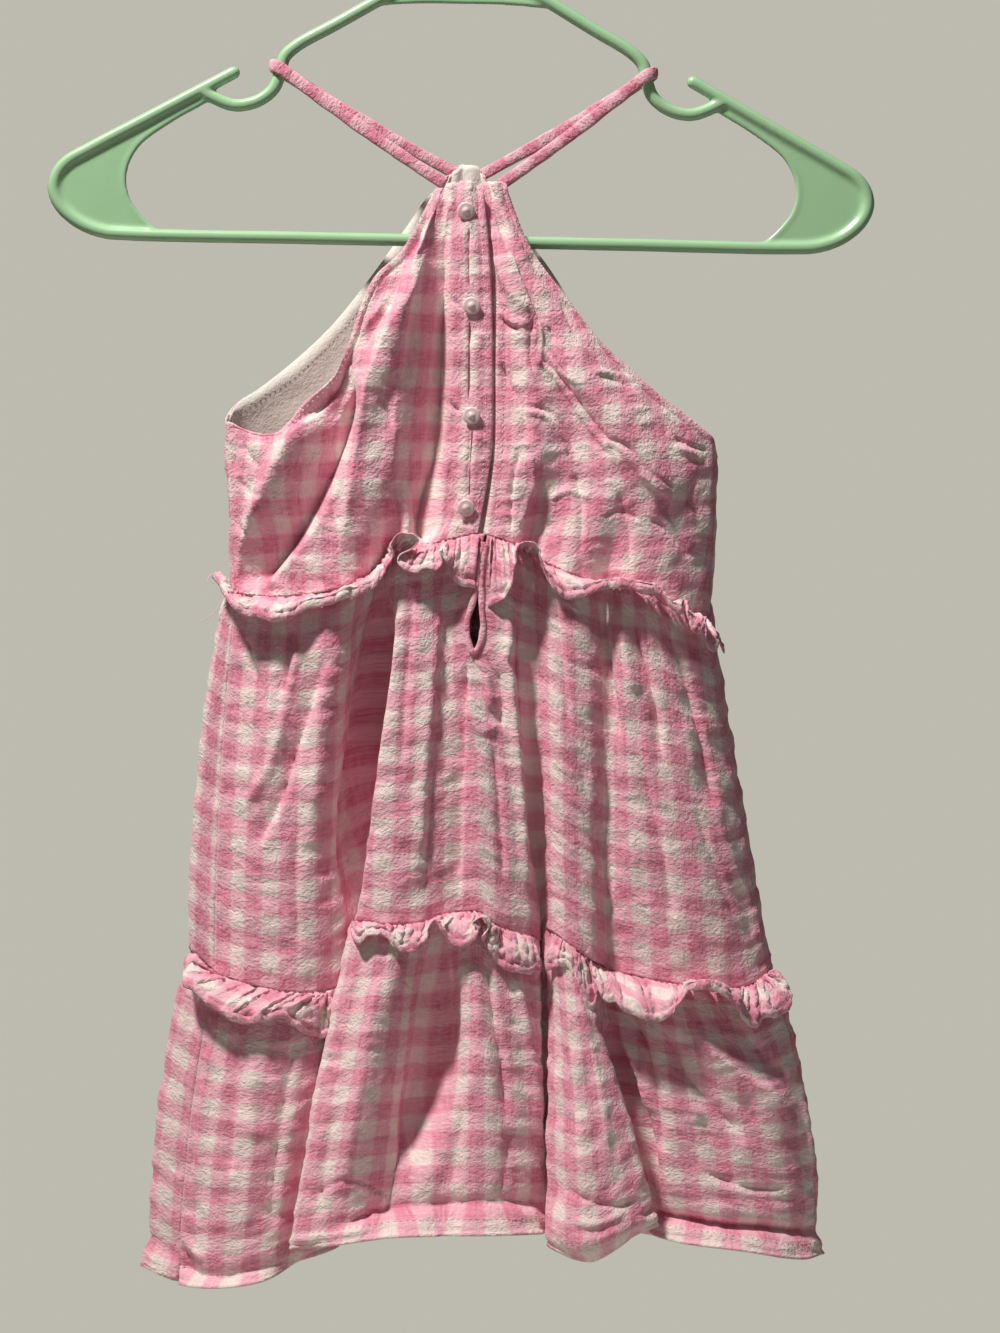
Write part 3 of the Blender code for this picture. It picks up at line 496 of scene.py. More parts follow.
folds = np.array((
    (-111.5, 399.5, 3, -122.5, 590, 8, -140, 744.5, 8, 0),
    (-99, 402, 10, -107.5, 595.5, 16, -122.5, 747.5, 22, 0),
    (-80, 401.5, 16, -82, 600, 22, -102.5, 745, 26, 0),
    (-55, 396, 18, -61, 597, 14, -80, 734.5, 13, 0),
    (-37.5, 383.5, 8, -46, 577, -5, -60, 726.5, -3, 0),
    (-34, 378.5, 16, -53.5, 564.5, 22, -85.5, 728.5, 32, 0),
    (-27.5, 377, 20, -37.5, 566, 29, -65, 727, 42, 0),
    (-15, 376, 20, -21, 565, 29, -35, 722.5, 44, 0),
    (-5, 373.5, 16, -4, 560.5, 23, -10, 721.5, 37, -3),
    (9, 370.5, 18, 10, 560, 27, 9, 721.5, 41, -6),
    (14.5, 371.5, 18, 19, 567, 27, 22.5, 721, 38, -5),
    (27.5, 376, 18, 36.5, 572, 20, 43, 719.5, 22, -1),
    (33.5, 379.5, 11, 40.5, 574, 8, 48, 718, 16, 0),
    (40, 383.5, 14, 44, 568.5, 14, 44.5, 727.5, 36, 0),
    (50, 388.5, 20, 52.5, 574.5, 24, 65, 734.5, 50, 0),
    (62.5, 393.5, 20, 65, 583.5, 22, 96, 717.5, 36, 0),
    (72.5, 396.5, 14, 72.5, 587.5, 10, 90, 714.5, 10, 0),
    (82.5, 397.5, 18, 90, 592.5, 18, 106, 722.5, 22, 0),
    (97.5, 401, 18, 115, 597, 20, 140, 728.5, 26, 0),
    (112.5, 407.5, 12, 137.5, 598, 14, 165, 732.5, 16, 0),
    (123, 412.5, 3, 154, 589.5, 2, 177.5, 731, 2, 0),
    (125, 405, -4, 155.5, 586, -4, 178.5, 731, -4, 0),
    (117.5, 399.5, -12, 147.5, 584.5, -13, 168, 733, -16, 0),
    (98, 394.5, -18, 128, 582, -22, 146, 733, -30, 0),
    (80, 392, -14, 101, 581, -12, 118, 728, -12, 0),
    (58, 389, -18, 72, 580, -23, 80, 724, -31, 0),
    (36, 387, -13, 46, 579, -11, 50, 720, -10, 0),
    (12, 386, -17, 16, 578.5, -20, 14, 718, -25, 0),
    (-12, 386, -14, -12, 578.5, -13, -16, 718, -14, 0),
    (-32, 386.5, -18, -42, 578.5, -24, -50, 720, -32, 0),
    (-58, 388.5, -13, -72, 578.5, -12, -82, 723, -11, 0),
    (-84, 391, -17, -97.5, 577.5, -21, -108, 730, -28, 0),
    (-107.5, 392.5, -12, -122.5, 576, -13, -141, 734.5, -15, 0),
    (-115.5, 393.5, -3, -134.5, 577, 0, -155.5, 736.5, 0, 0),
))
sideRow = 20              # the fold on the right side seam; the left one is row 0
ringSize = len(folds)
slit = {"left": 9, "right": 10, "fall": 0.30}


def skirtGrid(tier, places, falls):
    top, bottom = folds[:, tier * 3:tier * 3 + 3], folds[:, tier * 3 + 3:tier * 3 + 6]
    fall = falls[:, None]
    settle = 1.5 - 0.5 * top[:, 0] / 120 if tier == 0 else 1 + 1.2 * (top[:, 0] / 150) ** 2
    shareAcross = 1 - (1 - fall) ** settle
    swell = np.where(np.abs(top[:, 2]) < 5, 0, np.sign(top[:, 2]))
    swell = swell * 3 * np.sin(math.pi * np.clip(fall, 0, 1)) ** 0.8
    lean = folds[:, 9] * np.sin(math.pi * np.minimum(fall / (2 * slit["fall"]), 1)) * (tier == 0)
    across = top[:, 0] + (bottom[:, 0] - top[:, 0]) * shareAcross + lean
    drop = top[:, 1] + (bottom[:, 1] - top[:, 1]) * fall
    out = top[:, 2] + (bottom[:, 2] - top[:, 2]) * fall + swell
    return alongRing(np.stack([across, drop, out], -1), places)


def seamRing(tier, places):
    return skirtGrid(tier, places, np.array([0.0]))[0]


# tiers

middleBack = {
    "columns": 300, "rows": 132, "thick": 0.8, "flat": (375, 190),
    "creases": (
        (-13.0, 50, 8, ((390, 570), (388, 640), (380, 700), (370, 770), (360, 850), (350, 945))),
        (-6.0, 14, 4, ((386, 576), (385, 640), (377, 700), (366, 770), (355, 850), (346, 945))),
        (3.0, 16, 30, ((330, 596), (326, 640), (318, 740), (306, 860))),
        (-4.5, 18, 7, ((330, 640), (314, 700), (299, 745), (281, 800), (250, 858))),
        (2.4, 9, 9, ((300, 640), (288, 700), (272, 760), (240, 820))),
        (-2.6, 9, 5, ((243, 632), (252, 662), (262, 690), (262, 730))),
        (-3.0, 12, 5, ((292, 625), (290, 660), (284, 700))),
        (-1.8, 10, 6, ((300, 820), (296, 880), (300, 950))),
        (2.0, 8, 8, ((226, 660), (222, 740), (214, 830))),
        (-4.0, 12, 4, ((468, 660), (464, 710), (462, 800), (459, 905))),
        (3.0, 8, 6, ((480, 655), (488, 682), (491, 712))),
        (-2.4, 8, 6, ((498, 668), (503, 700), (500, 730))),
        (1.6, 6, 6, ((470, 722), (484, 732), (500, 724))),
        (2.0, 10, 10, ((440, 590), (432, 680), (424, 780), (420, 880))),
        (-2.4, 14, 8, ((414, 580), (410, 640), (405, 700), (400, 780))),
        (-1.8, 14, 10, ((436, 760), (430, 840), (424, 905))),
        (-2.6, 10, 5, ((494, 740), (500, 810), (505, 890))),
        (-6.0, 12, 9, ((521, 585), (525, 690), (534, 785), (542, 930))),
        (3.0, 8, 8, ((508, 600), (512, 690), (521, 790), (528, 900))),
        (-2.4, 12, 6, ((556, 600), (562, 660), (570, 740))),
        (-4.4, 14, 5, ((604, 594), (607, 640), (613, 690), (622, 760))),
        (-4.2, 14, 5, ((628, 598), (640, 650), (655, 700), (664, 770))),
        (-3.6, 14, 5, ((668, 625), (688, 685), (704, 750), (716, 820))),
        (2.2, 10, 10, ((618, 600), (626, 650), (636, 700))),
        (-2.4, 16, 8, ((640, 760), (660, 840), (676, 930))),
        (-2.0, 16, 9, ((580, 760), (600, 850), (616, 930))),
        (1.6, 8, 10, ((706, 790), (726, 850), (752, 915), (758, 950))),
        (-1.4, 9, 5, ((694, 800), (712, 860), (738, 930))),
    ),
}
bottomBack = {
    "columns": 310, "rows": 126, "thick": 0.8, "flat": (524, 163),
    "creases": (
        (-1.6, 4, 4, ((203, 1020), (196, 1080), (190, 1115), (182, 1175), (176, 1230))),
        (2.4, 8, 8, ((214, 1030), (206, 1090), (200, 1150), (194, 1210))),
        (-3.2, 14, 4, ((236, 1030), (237, 1075), (233, 1130), (232, 1180))),
        (2.4, 12, 12, ((258, 1050), (252, 1110), (250, 1180), (246, 1240))),
        (-3.0, 16, 6, ((296, 1040), (286, 1100), (276, 1170), (270, 1240))),
        (-2.6, 12, 6, ((168, 1100), (172, 1150), (168, 1200))),
        (3.4, 5, 6, ((152, 1196), (162, 1224), (158, 1262))),
        (-3.0, 6, 5, ((166, 1212), (176, 1240), (190, 1262))),
        (2.6, 6, 6, ((178, 1216), (190, 1246), (206, 1262))),
        (-17.0, 58, 15, ((448, 890), (447, 985), (446, 1040), (442, 1080), (430, 1130), (414, 1180))),
        (-13.0, 64, 36, ((446, 940), (438, 1050), (422, 1110), (402, 1170), (384, 1230), (372, 1280))),
        (4.0, 18, 20, ((384, 965), (372, 1020), (362, 1080), (350, 1150), (338, 1210))),
        (-2.2, 10, 6, ((336, 1110), (326, 1160), (318, 1220))),
        (-4.5, 16, 5, ((486, 950), (494, 1010), (503, 1060), (510, 1130))),
        (3.4, 9, 10, ((512, 960), (524, 1020), (534, 1080), (538, 1150))),
        (-2.6, 14, 8, ((466, 1060), (460, 1120), (452, 1190))),
        (2.0, 12, 12, ((440, 1100), (432, 1150), (424, 1196))),
        (-2.0, 12, 6, ((510, 1130), (506, 1170), (500, 1200))),
        (-3.0, 12, 30, ((547, 950), (550, 1060), (553, 1140), (552, 1232))),
        (-8.0, 14, 10, ((596, 985), (618, 1050), (646, 1138), (657, 1215))),
        (2.4, 10, 10, ((576, 990), (592, 1050), (604, 1120), (606, 1180))),
        (-2.4, 12, 6, ((566, 1040), (572, 1100), (576, 1160))),
        (-1.8, 7, 5, ((562, 1186), (588, 1200), (618, 1206), (638, 1198))),
        (1.8, 6, 6, ((570, 1222), (596, 1226), (624, 1214))),
        (3.6, 8, 9, ((602, 1008), (625, 1042), (640, 1080), (650, 1120))),
        (-4.0, 7, 9, ((622, 1012), (646, 1050), (656, 1100), (662, 1160))),
        (6.0, 24, 20, ((688, 1000), (708, 1048), (742, 1078), (774, 1104), (796, 1165))),
        (-4.0, 16, 12, ((668, 1030), (684, 1072), (712, 1104), (752, 1140))),
        (-3.4, 14, 8, ((736, 1018), (758, 1050), (784, 1078))),
        (-2.4, 14, 9, ((700, 1110), (716, 1150), (740, 1190))),
        (3.0, 5, 5, ((796, 1070), (803, 1120), (810, 1180))),
        (-2.0, 8, 6, ((700, 1170), (740, 1186), (790, 1190))),
        (-1.6, 7, 5, ((310, 1196), (350, 1180), (392, 1196))),
        (2.0, 5, 5, ((344, 1222), (362, 1210), (384, 1222))),
    ),
    # the turned hem by pixel across: how far it stands out, the dent above it, its height, in mm
    "hem": ((150, 3, -2.0, 7), (185, 5, -2.4, 7), (230, 5, -2.4, 5.5), (262, 3, -1.5, 5.5), (288, 0, 0, 6),
            (300, -1, 0, 7), (335, 2, -1.0, 9), (360, 7, -3.0, 13), (400, 9, -2.4, 15), (470, 10, -2.0, 16.5),
            (530, 9, -2.2, 16.5), (550, -2, 0, 9), (600, -7, 1.0, 8), (640, -8, 1.0, 8), (656, 5, -3.5, 12),
            (690, 9, -6.0, 12), (740, 9, -6.5, 13), (780, 9, -6.0, 15), (820, 4, -2.0, 15)),
}
# the far side is not in the picture: it is given folds of the same kinds
middleFront = {
    "columns": 170, "rows": 70, "thick": 0.8, "flat": (340, 190),
    "creases": (
        (-7.0, 34, 12, ((330, 600), (322, 700), (310, 820), (300, 960))),
        (-6.0, 12, 34, ((560, 600), (572, 700), (590, 820), (604, 960))),
        (-3.6, 20, 9, ((420, 585), (416, 680), (410, 790))),
        (-3.4, 9, 20, ((484, 585), (490, 690), (498, 810))),
        (3.0, 16, 16, ((450, 600), (452, 760), (458, 930))),
        (-3.2, 18, 9, ((258, 610), (246, 700), (228, 810))),
        (-3.4, 9, 18, ((642, 610), (664, 720), (686, 820))),
        (2.6, 12, 12, ((376, 620), (366, 720), (356, 830))),
        (2.6, 12, 12, ((610, 640), (628, 740), (650, 850))),
        (-2.0, 12, 10, ((380, 800), (370, 870), (364, 940))),
        (-2.0, 10, 12, ((530, 780), (540, 860), (548, 940))),
        (-1.6, 9, 9, ((226, 760), (262, 776), (300, 770))),
        (1.8, 9, 9, ((660, 860), (690, 850), (724, 858))),
    ),
}
bottomFront = {
    "columns": 170, "rows": 66, "thick": 0.8, "flat": (423, 163),
    "creases": (
        (-10.0, 44, 18, ((334, 940), (324, 1040), (310, 1140), (296, 1260))),
        (-9.0, 18, 44, ((566, 940), (584, 1050), (606, 1150), (624, 1260))),
        (-5.0, 24, 12, ((236, 1000), (226, 1080), (214, 1170), (204, 1250))),
        (-5.0, 12, 26, ((676, 1000), (694, 1080), (716, 1170), (728, 1250))),
        (4.0, 22, 22, ((446, 960), (444, 1060), (440, 1190))),
        (-3.0, 16, 10, ((392, 980), (384, 1060), (378, 1140))),
        (-3.0, 10, 16, ((506, 980), (514, 1070), (522, 1150))),
        (2.4, 12, 12, ((280, 1040), (268, 1120), (258, 1200))),
        (2.4, 12, 12, ((644, 1040), (660, 1120), (672, 1200))),
        (-1.8, 9, 9, ((400, 1180), (440, 1192), (482, 1184))),
        (1.6, 8, 8, ((600, 1196), (640, 1204), (676, 1194))),
    ),
}


def puckers(u, down, seed, strength):
    # short gathers under a seam: they fade with distance, each at its own length
    reach = 16 + 9 * wave(u, 9, seed + 1)
    fade = np.exp(-np.maximum(down, 0) / np.maximum(reach, 6))
    fine = wave(u, 2.9, seed + 2) * np.exp(-np.maximum(down, 0) / 7)
    return strength * (wave(u, 5.2, seed) * fade + 0.45 * fine)


def crinkles(u, v, seed, height=1.0):
    # crushed cotton: broad soft dents, then sharp little creases that run mostly across
    soft = ripple(u, v, 17, 13, seed) * 0.7
    middle = ripple(u + v * 0.4, v, 7.5, 4.6, seed + 1) * 0.42
    sharp = (0.45 - np.abs(ripple(u - v * 0.5, v + u * 0.15, 11, 6.5, seed + 2))) * 0.8
    return height * (soft + middle + sharp)


def tierGrid(tier, settings, back, seed):
    columns, rows, length = settings["columns"], settings["rows"], settings["flat"][1]
    first, last = (0, sideRow) if back else (sideRow, ringSize)
    # even steps along the hem, so that no part of the cloth is coarse
    fine = np.linspace(first, last, 1200)
    far = lengthsAlong(skirtGrid(tier, fine, np.array([0.9])), 1)[0]
    places = np.interp(np.linspace(0, far[-1], columns), far, fine)
    falls = np.linspace(0, 1, rows)
    if tier == 0 and back:
        for lip in (slit["left"], slit["right"]):
            places[np.argmin(np.abs(places - lip))] = lip
        falls[np.argmin(np.abs(falls - slit["fall"]))] = slit["fall"]
    grid = skirtGrid(tier, places, falls)
    v = np.broadcast_to(falls[:, None] * length, grid.shape[:2])
    widest = -1 if tier else rows * 4 // 5
    u = np.broadcast_to(lengthsAlong(grid[widest][None], 1), grid.shape[:2])
    edge = fromSides(grid)
    amount = puckers(u, v, seed, 1.8) + 0.7 * puckers(u, length - v, seed + 7, 1.0) * (tier == 0)
    amount = amount + crinkles(u, v, seed + 20) + 1.5 * wave(u + 0.05 * v, 15, seed + 11) * ease(v / 30)
    amount = amount + 1.3 * ripple(u, v, 8, 6.5, seed + 12) * np.exp(-edge / 9) * ease(edge / 2)
    return grid, u, v, places, falls, amount + creases(grid, settings["creases"]), edge


def turnedHem(amount, u, up, px, back, seed):
    # up is how far above the cut edge the cloth lies
    if back:
        table = np.array(bottomBack["hem"], float).T
        kick, notch, tall = (np.interp(px, table[0], column) for column in table[1:])
    else:
        kick, notch, tall = 3.0 + 2.0 * wave(u, 30, 5), -1.2, 12.0
    tall = tall + 1.2 * wave(u, 14, seed + 40) + 0.5 * wave(u, 4, seed + 41)
    amount = amount * (1 - 0.4 * ease((tall + 2 - up) / 6))
    amount = amount + kick * np.clip(1 - up / tall, 0, 1) ** 1.1 + notch * bell(up - tall - 1.5, 3.2)
    amount = amount + 0.9 * bell(up - tall * 0.6, tall * 0.22) - 0.7 * bell(up - 2.4, 1.0)
    return amount + 0.9 * ripple(u, up, 9, 5, seed + 42) * ease((tall + 1 - up) / 4)


def shapeSlit(grid, places, falls):
    # the opening: narrow at the seam, then a teardrop whose lips meet at its lower end
    centre = np.interp(falls, (0, 0.07, 0.15, 0.22, 0.30), (486, 480.5, 478.5, 475.5, 473.5))
    half = np.interp(falls, (0, 0.07, 0.13, 0.19, 0.235, 0.28, 0.30), (1.2, 1.2, 1.8, 5.0, 8.5, 6.0, 0.8)) / 2
    centre = (centre - 460) / 2
    inside = falls <= slit["fall"] + 1e-6
    fade = np.where(inside, 1, 1 - ease((falls - slit["fall"]) / 0.05))
    left, right = (int(np.argmin(np.abs(places - slit[lip]))) for lip in ("left", "right"))
    grid = grid.copy()
    for lip, sign in ((left, -1), (right, 1)):
        move = centre + sign * half - grid[:, lip, 0]
        away = sign * (places - places[lip])
        weight = ease(np.clip(1 - away / 1.6, 0, 1)) * (away >= 0)
        grid[..., 0] += (move * fade)[:, None] * weight[None]
    for k in range(left + 1, right):
        share = (places[k] - places[left]) / (places[right] - places[left])
        grid[:, k] = grid[:, left] * (1 - share) + grid[:, right] * share
    cut = np.zeros((len(falls) - 1, len(places) - 1), bool)
    cut[inside[1:], left:right] = True
    return grid, cut


def makeTier(name, node, tier, back, settings, seed):
    grid, u, v, places, falls, amount, edge = tierGrid(tier, settings, back, seed)
    hold, cut = ease(edge / 3), None
    if tier == 1:
        up = (1 - falls[:, None]) * settings["flat"][1]
        amount = turnedHem(amount, u, up + 0 * u, picturePlace(grid)[0], back, seed)
    elif back:
        grid, cut = shapeSlit(grid, places, falls)
        away = np.abs(places - 9.5)[None, :]
        hold = hold * np.where(v < 62, ease((away - 0.5) / 0.35), 1)
    shaped = pushed(grid, amount * hold * (0.35 + 0.65 * ease(v / 4)), back)
    piece = clothPiece(name, shaped, u, v, settings["thick"], checkedCotton, cut)
    declare(piece, node)
    print("made", name)
    return shaped, places, falls


# bodice: each fold runs from the neck down to the upper seam, as the place on the seam's ring where
# it lands, whether it is an armhole edge, and (share of the height, across, drop, out)

bodiceLeft = {
    "columns": 132, "rows": 150, "thick": 0.9, "flat": (170, 225), "area": 0.0205,
    "gathers": (
        (0, True, ((0, -12, 198.5, 6), (0.15, -29, 229, 8), (0.25, -43.5, 243.5, 9.5),
                   (0.38, -57.5, 280.5, 12), (0.44, -63, 292, 12), (0.49, -77, 304.5, 11),
                   (0.55, -92, 320.5, 9), (0.59, -106, 319.5, 6), (0.62, -116.5, 314, 3),
                   (0.8, -115, 353.5, 4))),
        (1, False, ((0, -11, 197.5, 6.5), (0.15, -26.5, 231.5, 10), (0.38, -54, 284.5, 13),
                    (0.62, -85, 337.5, 17))),
        (2, False, ((0, -9.5, 196.5, 8), (0.15, -23, 234.5, 14), (0.38, -38, 287.5, 18.5),
                    (0.62, -57.5, 338.5, 18.5))),
        (3.2, False, ((0, -6.5, 195.5, 7.5), (0.15, -18, 234.5, 12), (0.38, -26, 288.5, 15),
                      (0.62, -37.5, 336, 21))),
        (5.5, False, ((0, -3, 195, 7.5), (0.15, -13, 234.5, 11), (0.38, -17, 287.5, 14.5),
                      (0.62, -22.5, 334.5, 16), (0.85, -25, 368, 19))),
        (7.6, False, ((0, 0, 195, 9), (0.15, -4, 234.5, 11.5), (0.38, -7, 286.5, 13.5),
                      (0.62, -8, 332.5, 13), (0.85, -9, 366, 13))),
        (8.5, False, ((0, 6, 195.5, 10), (0.15, 6, 234.5, 12.5), (0.38, 6, 286.5, 14.5),
                      (0.62, 5, 332.5, 17))),
        (9, False, ((0, 12, 201, 10), (0.15, 15, 234.5, 12), (0.38, 16.5, 286.5, 14),
                    (0.62, 15.5, 332.5, 16))),
    ),
    "creases": (
        (-12.5, 52, 8, ((350, 330), (352, 400), (350, 428), (334, 475), (300, 537), (262, 581), (236, 612))),
        (4.0, 14, 22, ((318, 412), (286, 448), (262, 495), (244, 545), (236, 590))),
        (4.2, 14, 26, ((432, 240), (410, 290), (384, 345), (366, 392), (358, 440), (352, 490), (340, 560))),
        (-13.0, 46, 8, ((444, 165), (444, 300), (444, 360), (441, 420), (437, 480), (431, 530), (416, 600),
                        (392, 680))),
        (-2.0, 16, 5, ((352, 350), (338, 380), (322, 402), (300, 420), (280, 432))),
        (1.6, 8, 10, ((346, 362), (352, 376), (344, 400), (330, 430))),
        (-1.6, 10, 4, ((402, 268), (392, 300), (374, 330), (362, 352))),
        (1.2, 7, 7, ((392, 290), (378, 312), (362, 330))),
        (-1.3, 8, 4, ((426, 215), (415, 240), (408, 262))),
        (-1.3, 6, 4, ((438, 200), (432, 222), (424, 246))),
        (1.3, 6, 6, ((452, 200), (446, 222), (443, 246))),
        (-0.9, 7, 5, ((376, 400), (388, 412), (392, 430))),
        (-1.0, 5, 5, ((243, 442), (252, 460), (264, 470))),
        (-1.0, 5, 5, ((238, 478), (250, 492), (266, 496))),
        (-0.9, 5, 5, ((236, 520), (248, 536), (256, 552))),
        (-0.9, 4, 4, ((236, 432), (233, 500), (230, 584))),
        # the folded edge that carries the buttons: a seam line, dents at each button, little cross creases
        (-1.1, 4, 4, ((469, 226), (469, 292))),
        (-1.1, 4, 4, ((470, 318), (469, 402))),
        (-1.0, 4, 4, ((471, 428), (469, 500))),
        (-0.8, 4, 4, ((466, 516), (466, 534))),
        (-1.4, 10, 3, ((443, 396), (452, 405), (462, 412))),
        (-1.0, 6, 3, ((447, 296), (456, 303), (463, 306))),
        (0.8, 4, 4, ((476, 334), (486, 338), (492, 346))),
        (0.8, 4, 4, ((476, 436), (486, 442), (492, 450))),
        (-0.8, 4, 4, ((478, 350), (490, 352))),
        (-0.8, 4, 4, ((478, 262), (488, 268))),
    ),
}
bodiceRight = {
    "columns": 132, "rows": 150, "thick": 0.9, "flat": (170, 235), "area": 0.0163,
    "gathers": (
        (10, False, ((0, 8, 197, 5.6), (0.15, 17.5, 232.5, 9), (0.38, 18.5, 286.5, 13),
                     (0.62, 18, 332.5, 15))),
        (11, False, ((0, 12, 196, 6.4), (0.15, 22.5, 234.5, 12), (0.38, 35.5, 283.5, 17),
                     (0.62, 35, 328.5, 20))),
        (13.6, False, ((0, 15, 195.5, 6), (0.15, 26, 232.5, 10), (0.38, 44, 278.5, 14),
                       (0.62, 57.5, 328.5, 15))),
        (16, False, ((0, 17.5, 195.5, 8), (0.15, 29.5, 230.5, 11.5), (0.38, 60, 281, 17),
                     (0.62, 82.5, 331, 20))),
        (18.3, False, ((0, 20, 195.5, 7.5), (0.15, 32.5, 229.5, 9.5), (0.38, 72, 283, 13.5),
                       (0.62, 106, 331, 14))),
        (20, True, ((0, 23, 198.5, 6), (0.15, 35.5, 228.5, 7.5), (0.25, 50, 248.5, 9), (0.38, 70.5, 275, 10),
                    (0.44, 82, 285.5, 10), (0.5, 97.5, 299.5, 9), (0.57, 115, 313, 6.5),
                    (0.62, 126.5, 322.5, 3), (0.8, 126.5, 356, 3))),
    ),
    "creases": (
        (3.2, 26, 30, ((500, 225), (512, 270), (530, 313), (563, 362), (610, 415), (655, 478), (684, 505))),
        (-2.6, 10, 7, ((499, 360), (505, 378), (516, 398), (524, 418), (530, 447))),
        (1.1, 4, 4, ((532, 355), (561, 386), (592, 430), (620, 461))),
        (-0.9, 4, 4, ((538, 356), (567, 384), (598, 426), (626, 458))),
        (-1.1, 5, 4, ((532, 316), (530, 342), (532, 368), (542, 392))),
        (1.0, 4, 4, ((540, 318), (540, 345), (538, 368))),
        (1.2, 4, 4, ((600, 440), (620, 449), (645, 480), (670, 499))),
        (-1.1, 4, 4, ((605, 436), (626, 446), (650, 474), (676, 492))),
        (0.8, 5, 4, ((592, 371), (610, 374), (636, 380))),
        (-0.7, 5, 4, ((590, 377), (610, 380), (632, 388))),
        (1.1, 4, 4, ((517, 411), (545, 417), (561, 439), (567, 455))),
        (-0.9, 4, 4, ((520, 405), (550, 413), (568, 436), (574, 455))),
        (0.9, 4, 4, ((542, 349), (564, 374), (582, 381))),
        (-0.8, 4, 4, ((560, 300), (572, 330), (590, 352))),
        (0.9, 4, 4, ((548, 500), (570, 492), (592, 500))),
        (-0.8, 4, 4, ((600, 520), (620, 512), (644, 522))),
        (-1.3, 6, 4, ((550, 325), (553, 340), (556, 352))),
        (1.2, 4, 4, ((497, 308), (503, 316), (514, 322), (530, 324))),
        (-1.4, 4, 4, ((498, 316), (508, 326), (522, 330))),
        (-1.6, 5, 4, ((521, 446), (513, 480), (511, 512), (512, 536))),
        (1.6, 4, 5, ((527, 450), (533, 478), (526, 505), (518, 530))),
        (-1.4, 8, 4, ((540, 470), (544, 500), (541, 540))),
        (-1.3, 8, 5, ((575, 470), (582, 510), (580, 560))),
        (-1.2, 8, 5, ((618, 490), (628, 530), (630, 575))),
        (-1.4, 10, 5, ((664, 500), (676, 530), (690, 562))),
        (-1.6, 5, 4, ((674, 438), (690, 446), (708, 452))),
        (1.2, 5, 5, ((672, 446), (690, 454), (704, 462))),
        (-1.2, 5, 5, ((696, 480), (690, 500), (700, 520))),
        (-1.0, 5, 5, ((650, 520), (664, 528), (680, 548))),
        (1.6, 8, 6, ((492, 222), (500, 262), (514, 296), (528, 316))),
    ),
}
bodiceFront = {
    "columns": 118, "rows": 112, "thick": 0.8, "flat": (285, 225), "area": 0.036,
    "creases": (
        (-3.6, 24, 12, ((432, 225), (404, 330), (372, 430), (348, 560))),
        (-3.6, 12, 24, ((478, 225), (512, 330), (546, 430), (570, 560))),
        (2.6, 16, 16, ((452, 220), (448, 330), (446, 440), (450, 560))),
        (-2.2, 9, 7, ((440, 210), (428, 280), (414, 340))),
        (-2.2, 7, 9, ((470, 210), (484, 280), (500, 340))),
        (-2.0, 12, 8, ((250, 440), (290, 452), (336, 446), (380, 456))),
        (-1.8, 8, 12, ((560, 430), (600, 446), (650, 440), (694, 450))),
        (1.8, 10, 10, ((264, 500), (320, 512), (372, 504))),
        (1.8, 10, 10, ((560, 520), (616, 508), (670, 520))),
    ),
    "gathers": (
        (34, True, ((0, -7.5, 192.5, -6), (0.15, -20, 212, -8), (0.25, -33, 229.5, -9.5),
                    (0.38, -56, 258.5, -10), (0.44, -68, 271.5, -9), (0.5, -84, 286, -7),
                    (0.57, -103, 300, -3.5), (0.595, -112, 305.5, -0.5), (0.62, -117, 312.5, 2.6),
                    (0.8, -115, 353.5, 3.4))),
        (33, False, ((0, -6.5, 190.5, -7), (0.15, -15, 218, -9.5), (0.38, -48, 268, -12),
                     (0.5, -78, 299, -9.5), (0.57, -100, 311, -6), (0.62, -115.5, 321, -1.5),
                     (0.8, -115, 356, -1))),
        (32, False, ((0, -4, 188.5, -8), (0.15, -11, 226, -11), (0.38, -34, 280, -13), (0.5, -66, 312, -12),
                     (0.62, -103, 337, -8.5), (0.8, -106, 362, -11))),
        (30.5, False, ((0, -2, 187, -7.5), (0.15, -5, 228, -10.5), (0.38, -20, 285, -14),
                       (0.62, -66, 335, -16))),
        (28.6, False, ((0, 1, 185.5, -9), (0.15, 2, 228, -12), (0.38, 0, 286, -15.5),
                       (0.62, -15, 335, -17.5))),
        (25.8, False, ((0, 6, 185, -8), (0.15, 8, 228, -11), (0.38, 18, 286, -14), (0.62, 30, 335, -15.5))),
        (24.6, False, ((0, 10, 186, -9), (0.15, 16, 226, -12), (0.38, 42, 280, -15), (0.62, 68, 332, -16))),
        (22.7, False, ((0, 12, 188.5, -8), (0.15, 18, 223, -10.5), (0.38, 59, 277, -13),
                       (0.62, 108, 332, -12.5))),
        (21, False, ((0, 13.5, 191, -7), (0.15, 22, 222, -9), (0.38, 70, 279, -11), (0.5, 98, 302, -10),
                     (0.57, 117, 317, -7), (0.62, 127.5, 328, -3), (0.8, 128, 356, -3))),
        (20, True, ((0, 14.5, 194, -6), (0.15, 24.5, 214, -8), (0.25, 44.5, 239.5, -9),
                    (0.38, 68.5, 272, -9.5), (0.44, 81, 284, -9), (0.5, 96, 298.5, -8),
                    (0.57, 115, 313, -4.5), (0.62, 126.5, 322.5, 3), (0.8, 126.5, 356, 3))),
    ),
}
armpit = 0.62


def gatherLine(gather, falls):
    lands, edge, points = gather
    knots = np.array([place[1:] for place in points] + [seamRing(0, np.array([float(lands)]))[0]])
    shares = np.array([place[0] for place in points] + [1.0])
    places = np.interp(falls, shares, np.arange(len(shares)))
    if not edge:
        return alongLine(knots[None], places)[0]
    corner = int(np.argmin(np.abs(shares - armpit)))
    upper = alongLine(knots[None, :corner + 1], np.minimum(places, corner))[0]
    lower = alongLine(knots[None, corner:], np.maximum(places - corner, 0))[0]
    return np.where((places <= corner)[:, None], upper, lower)


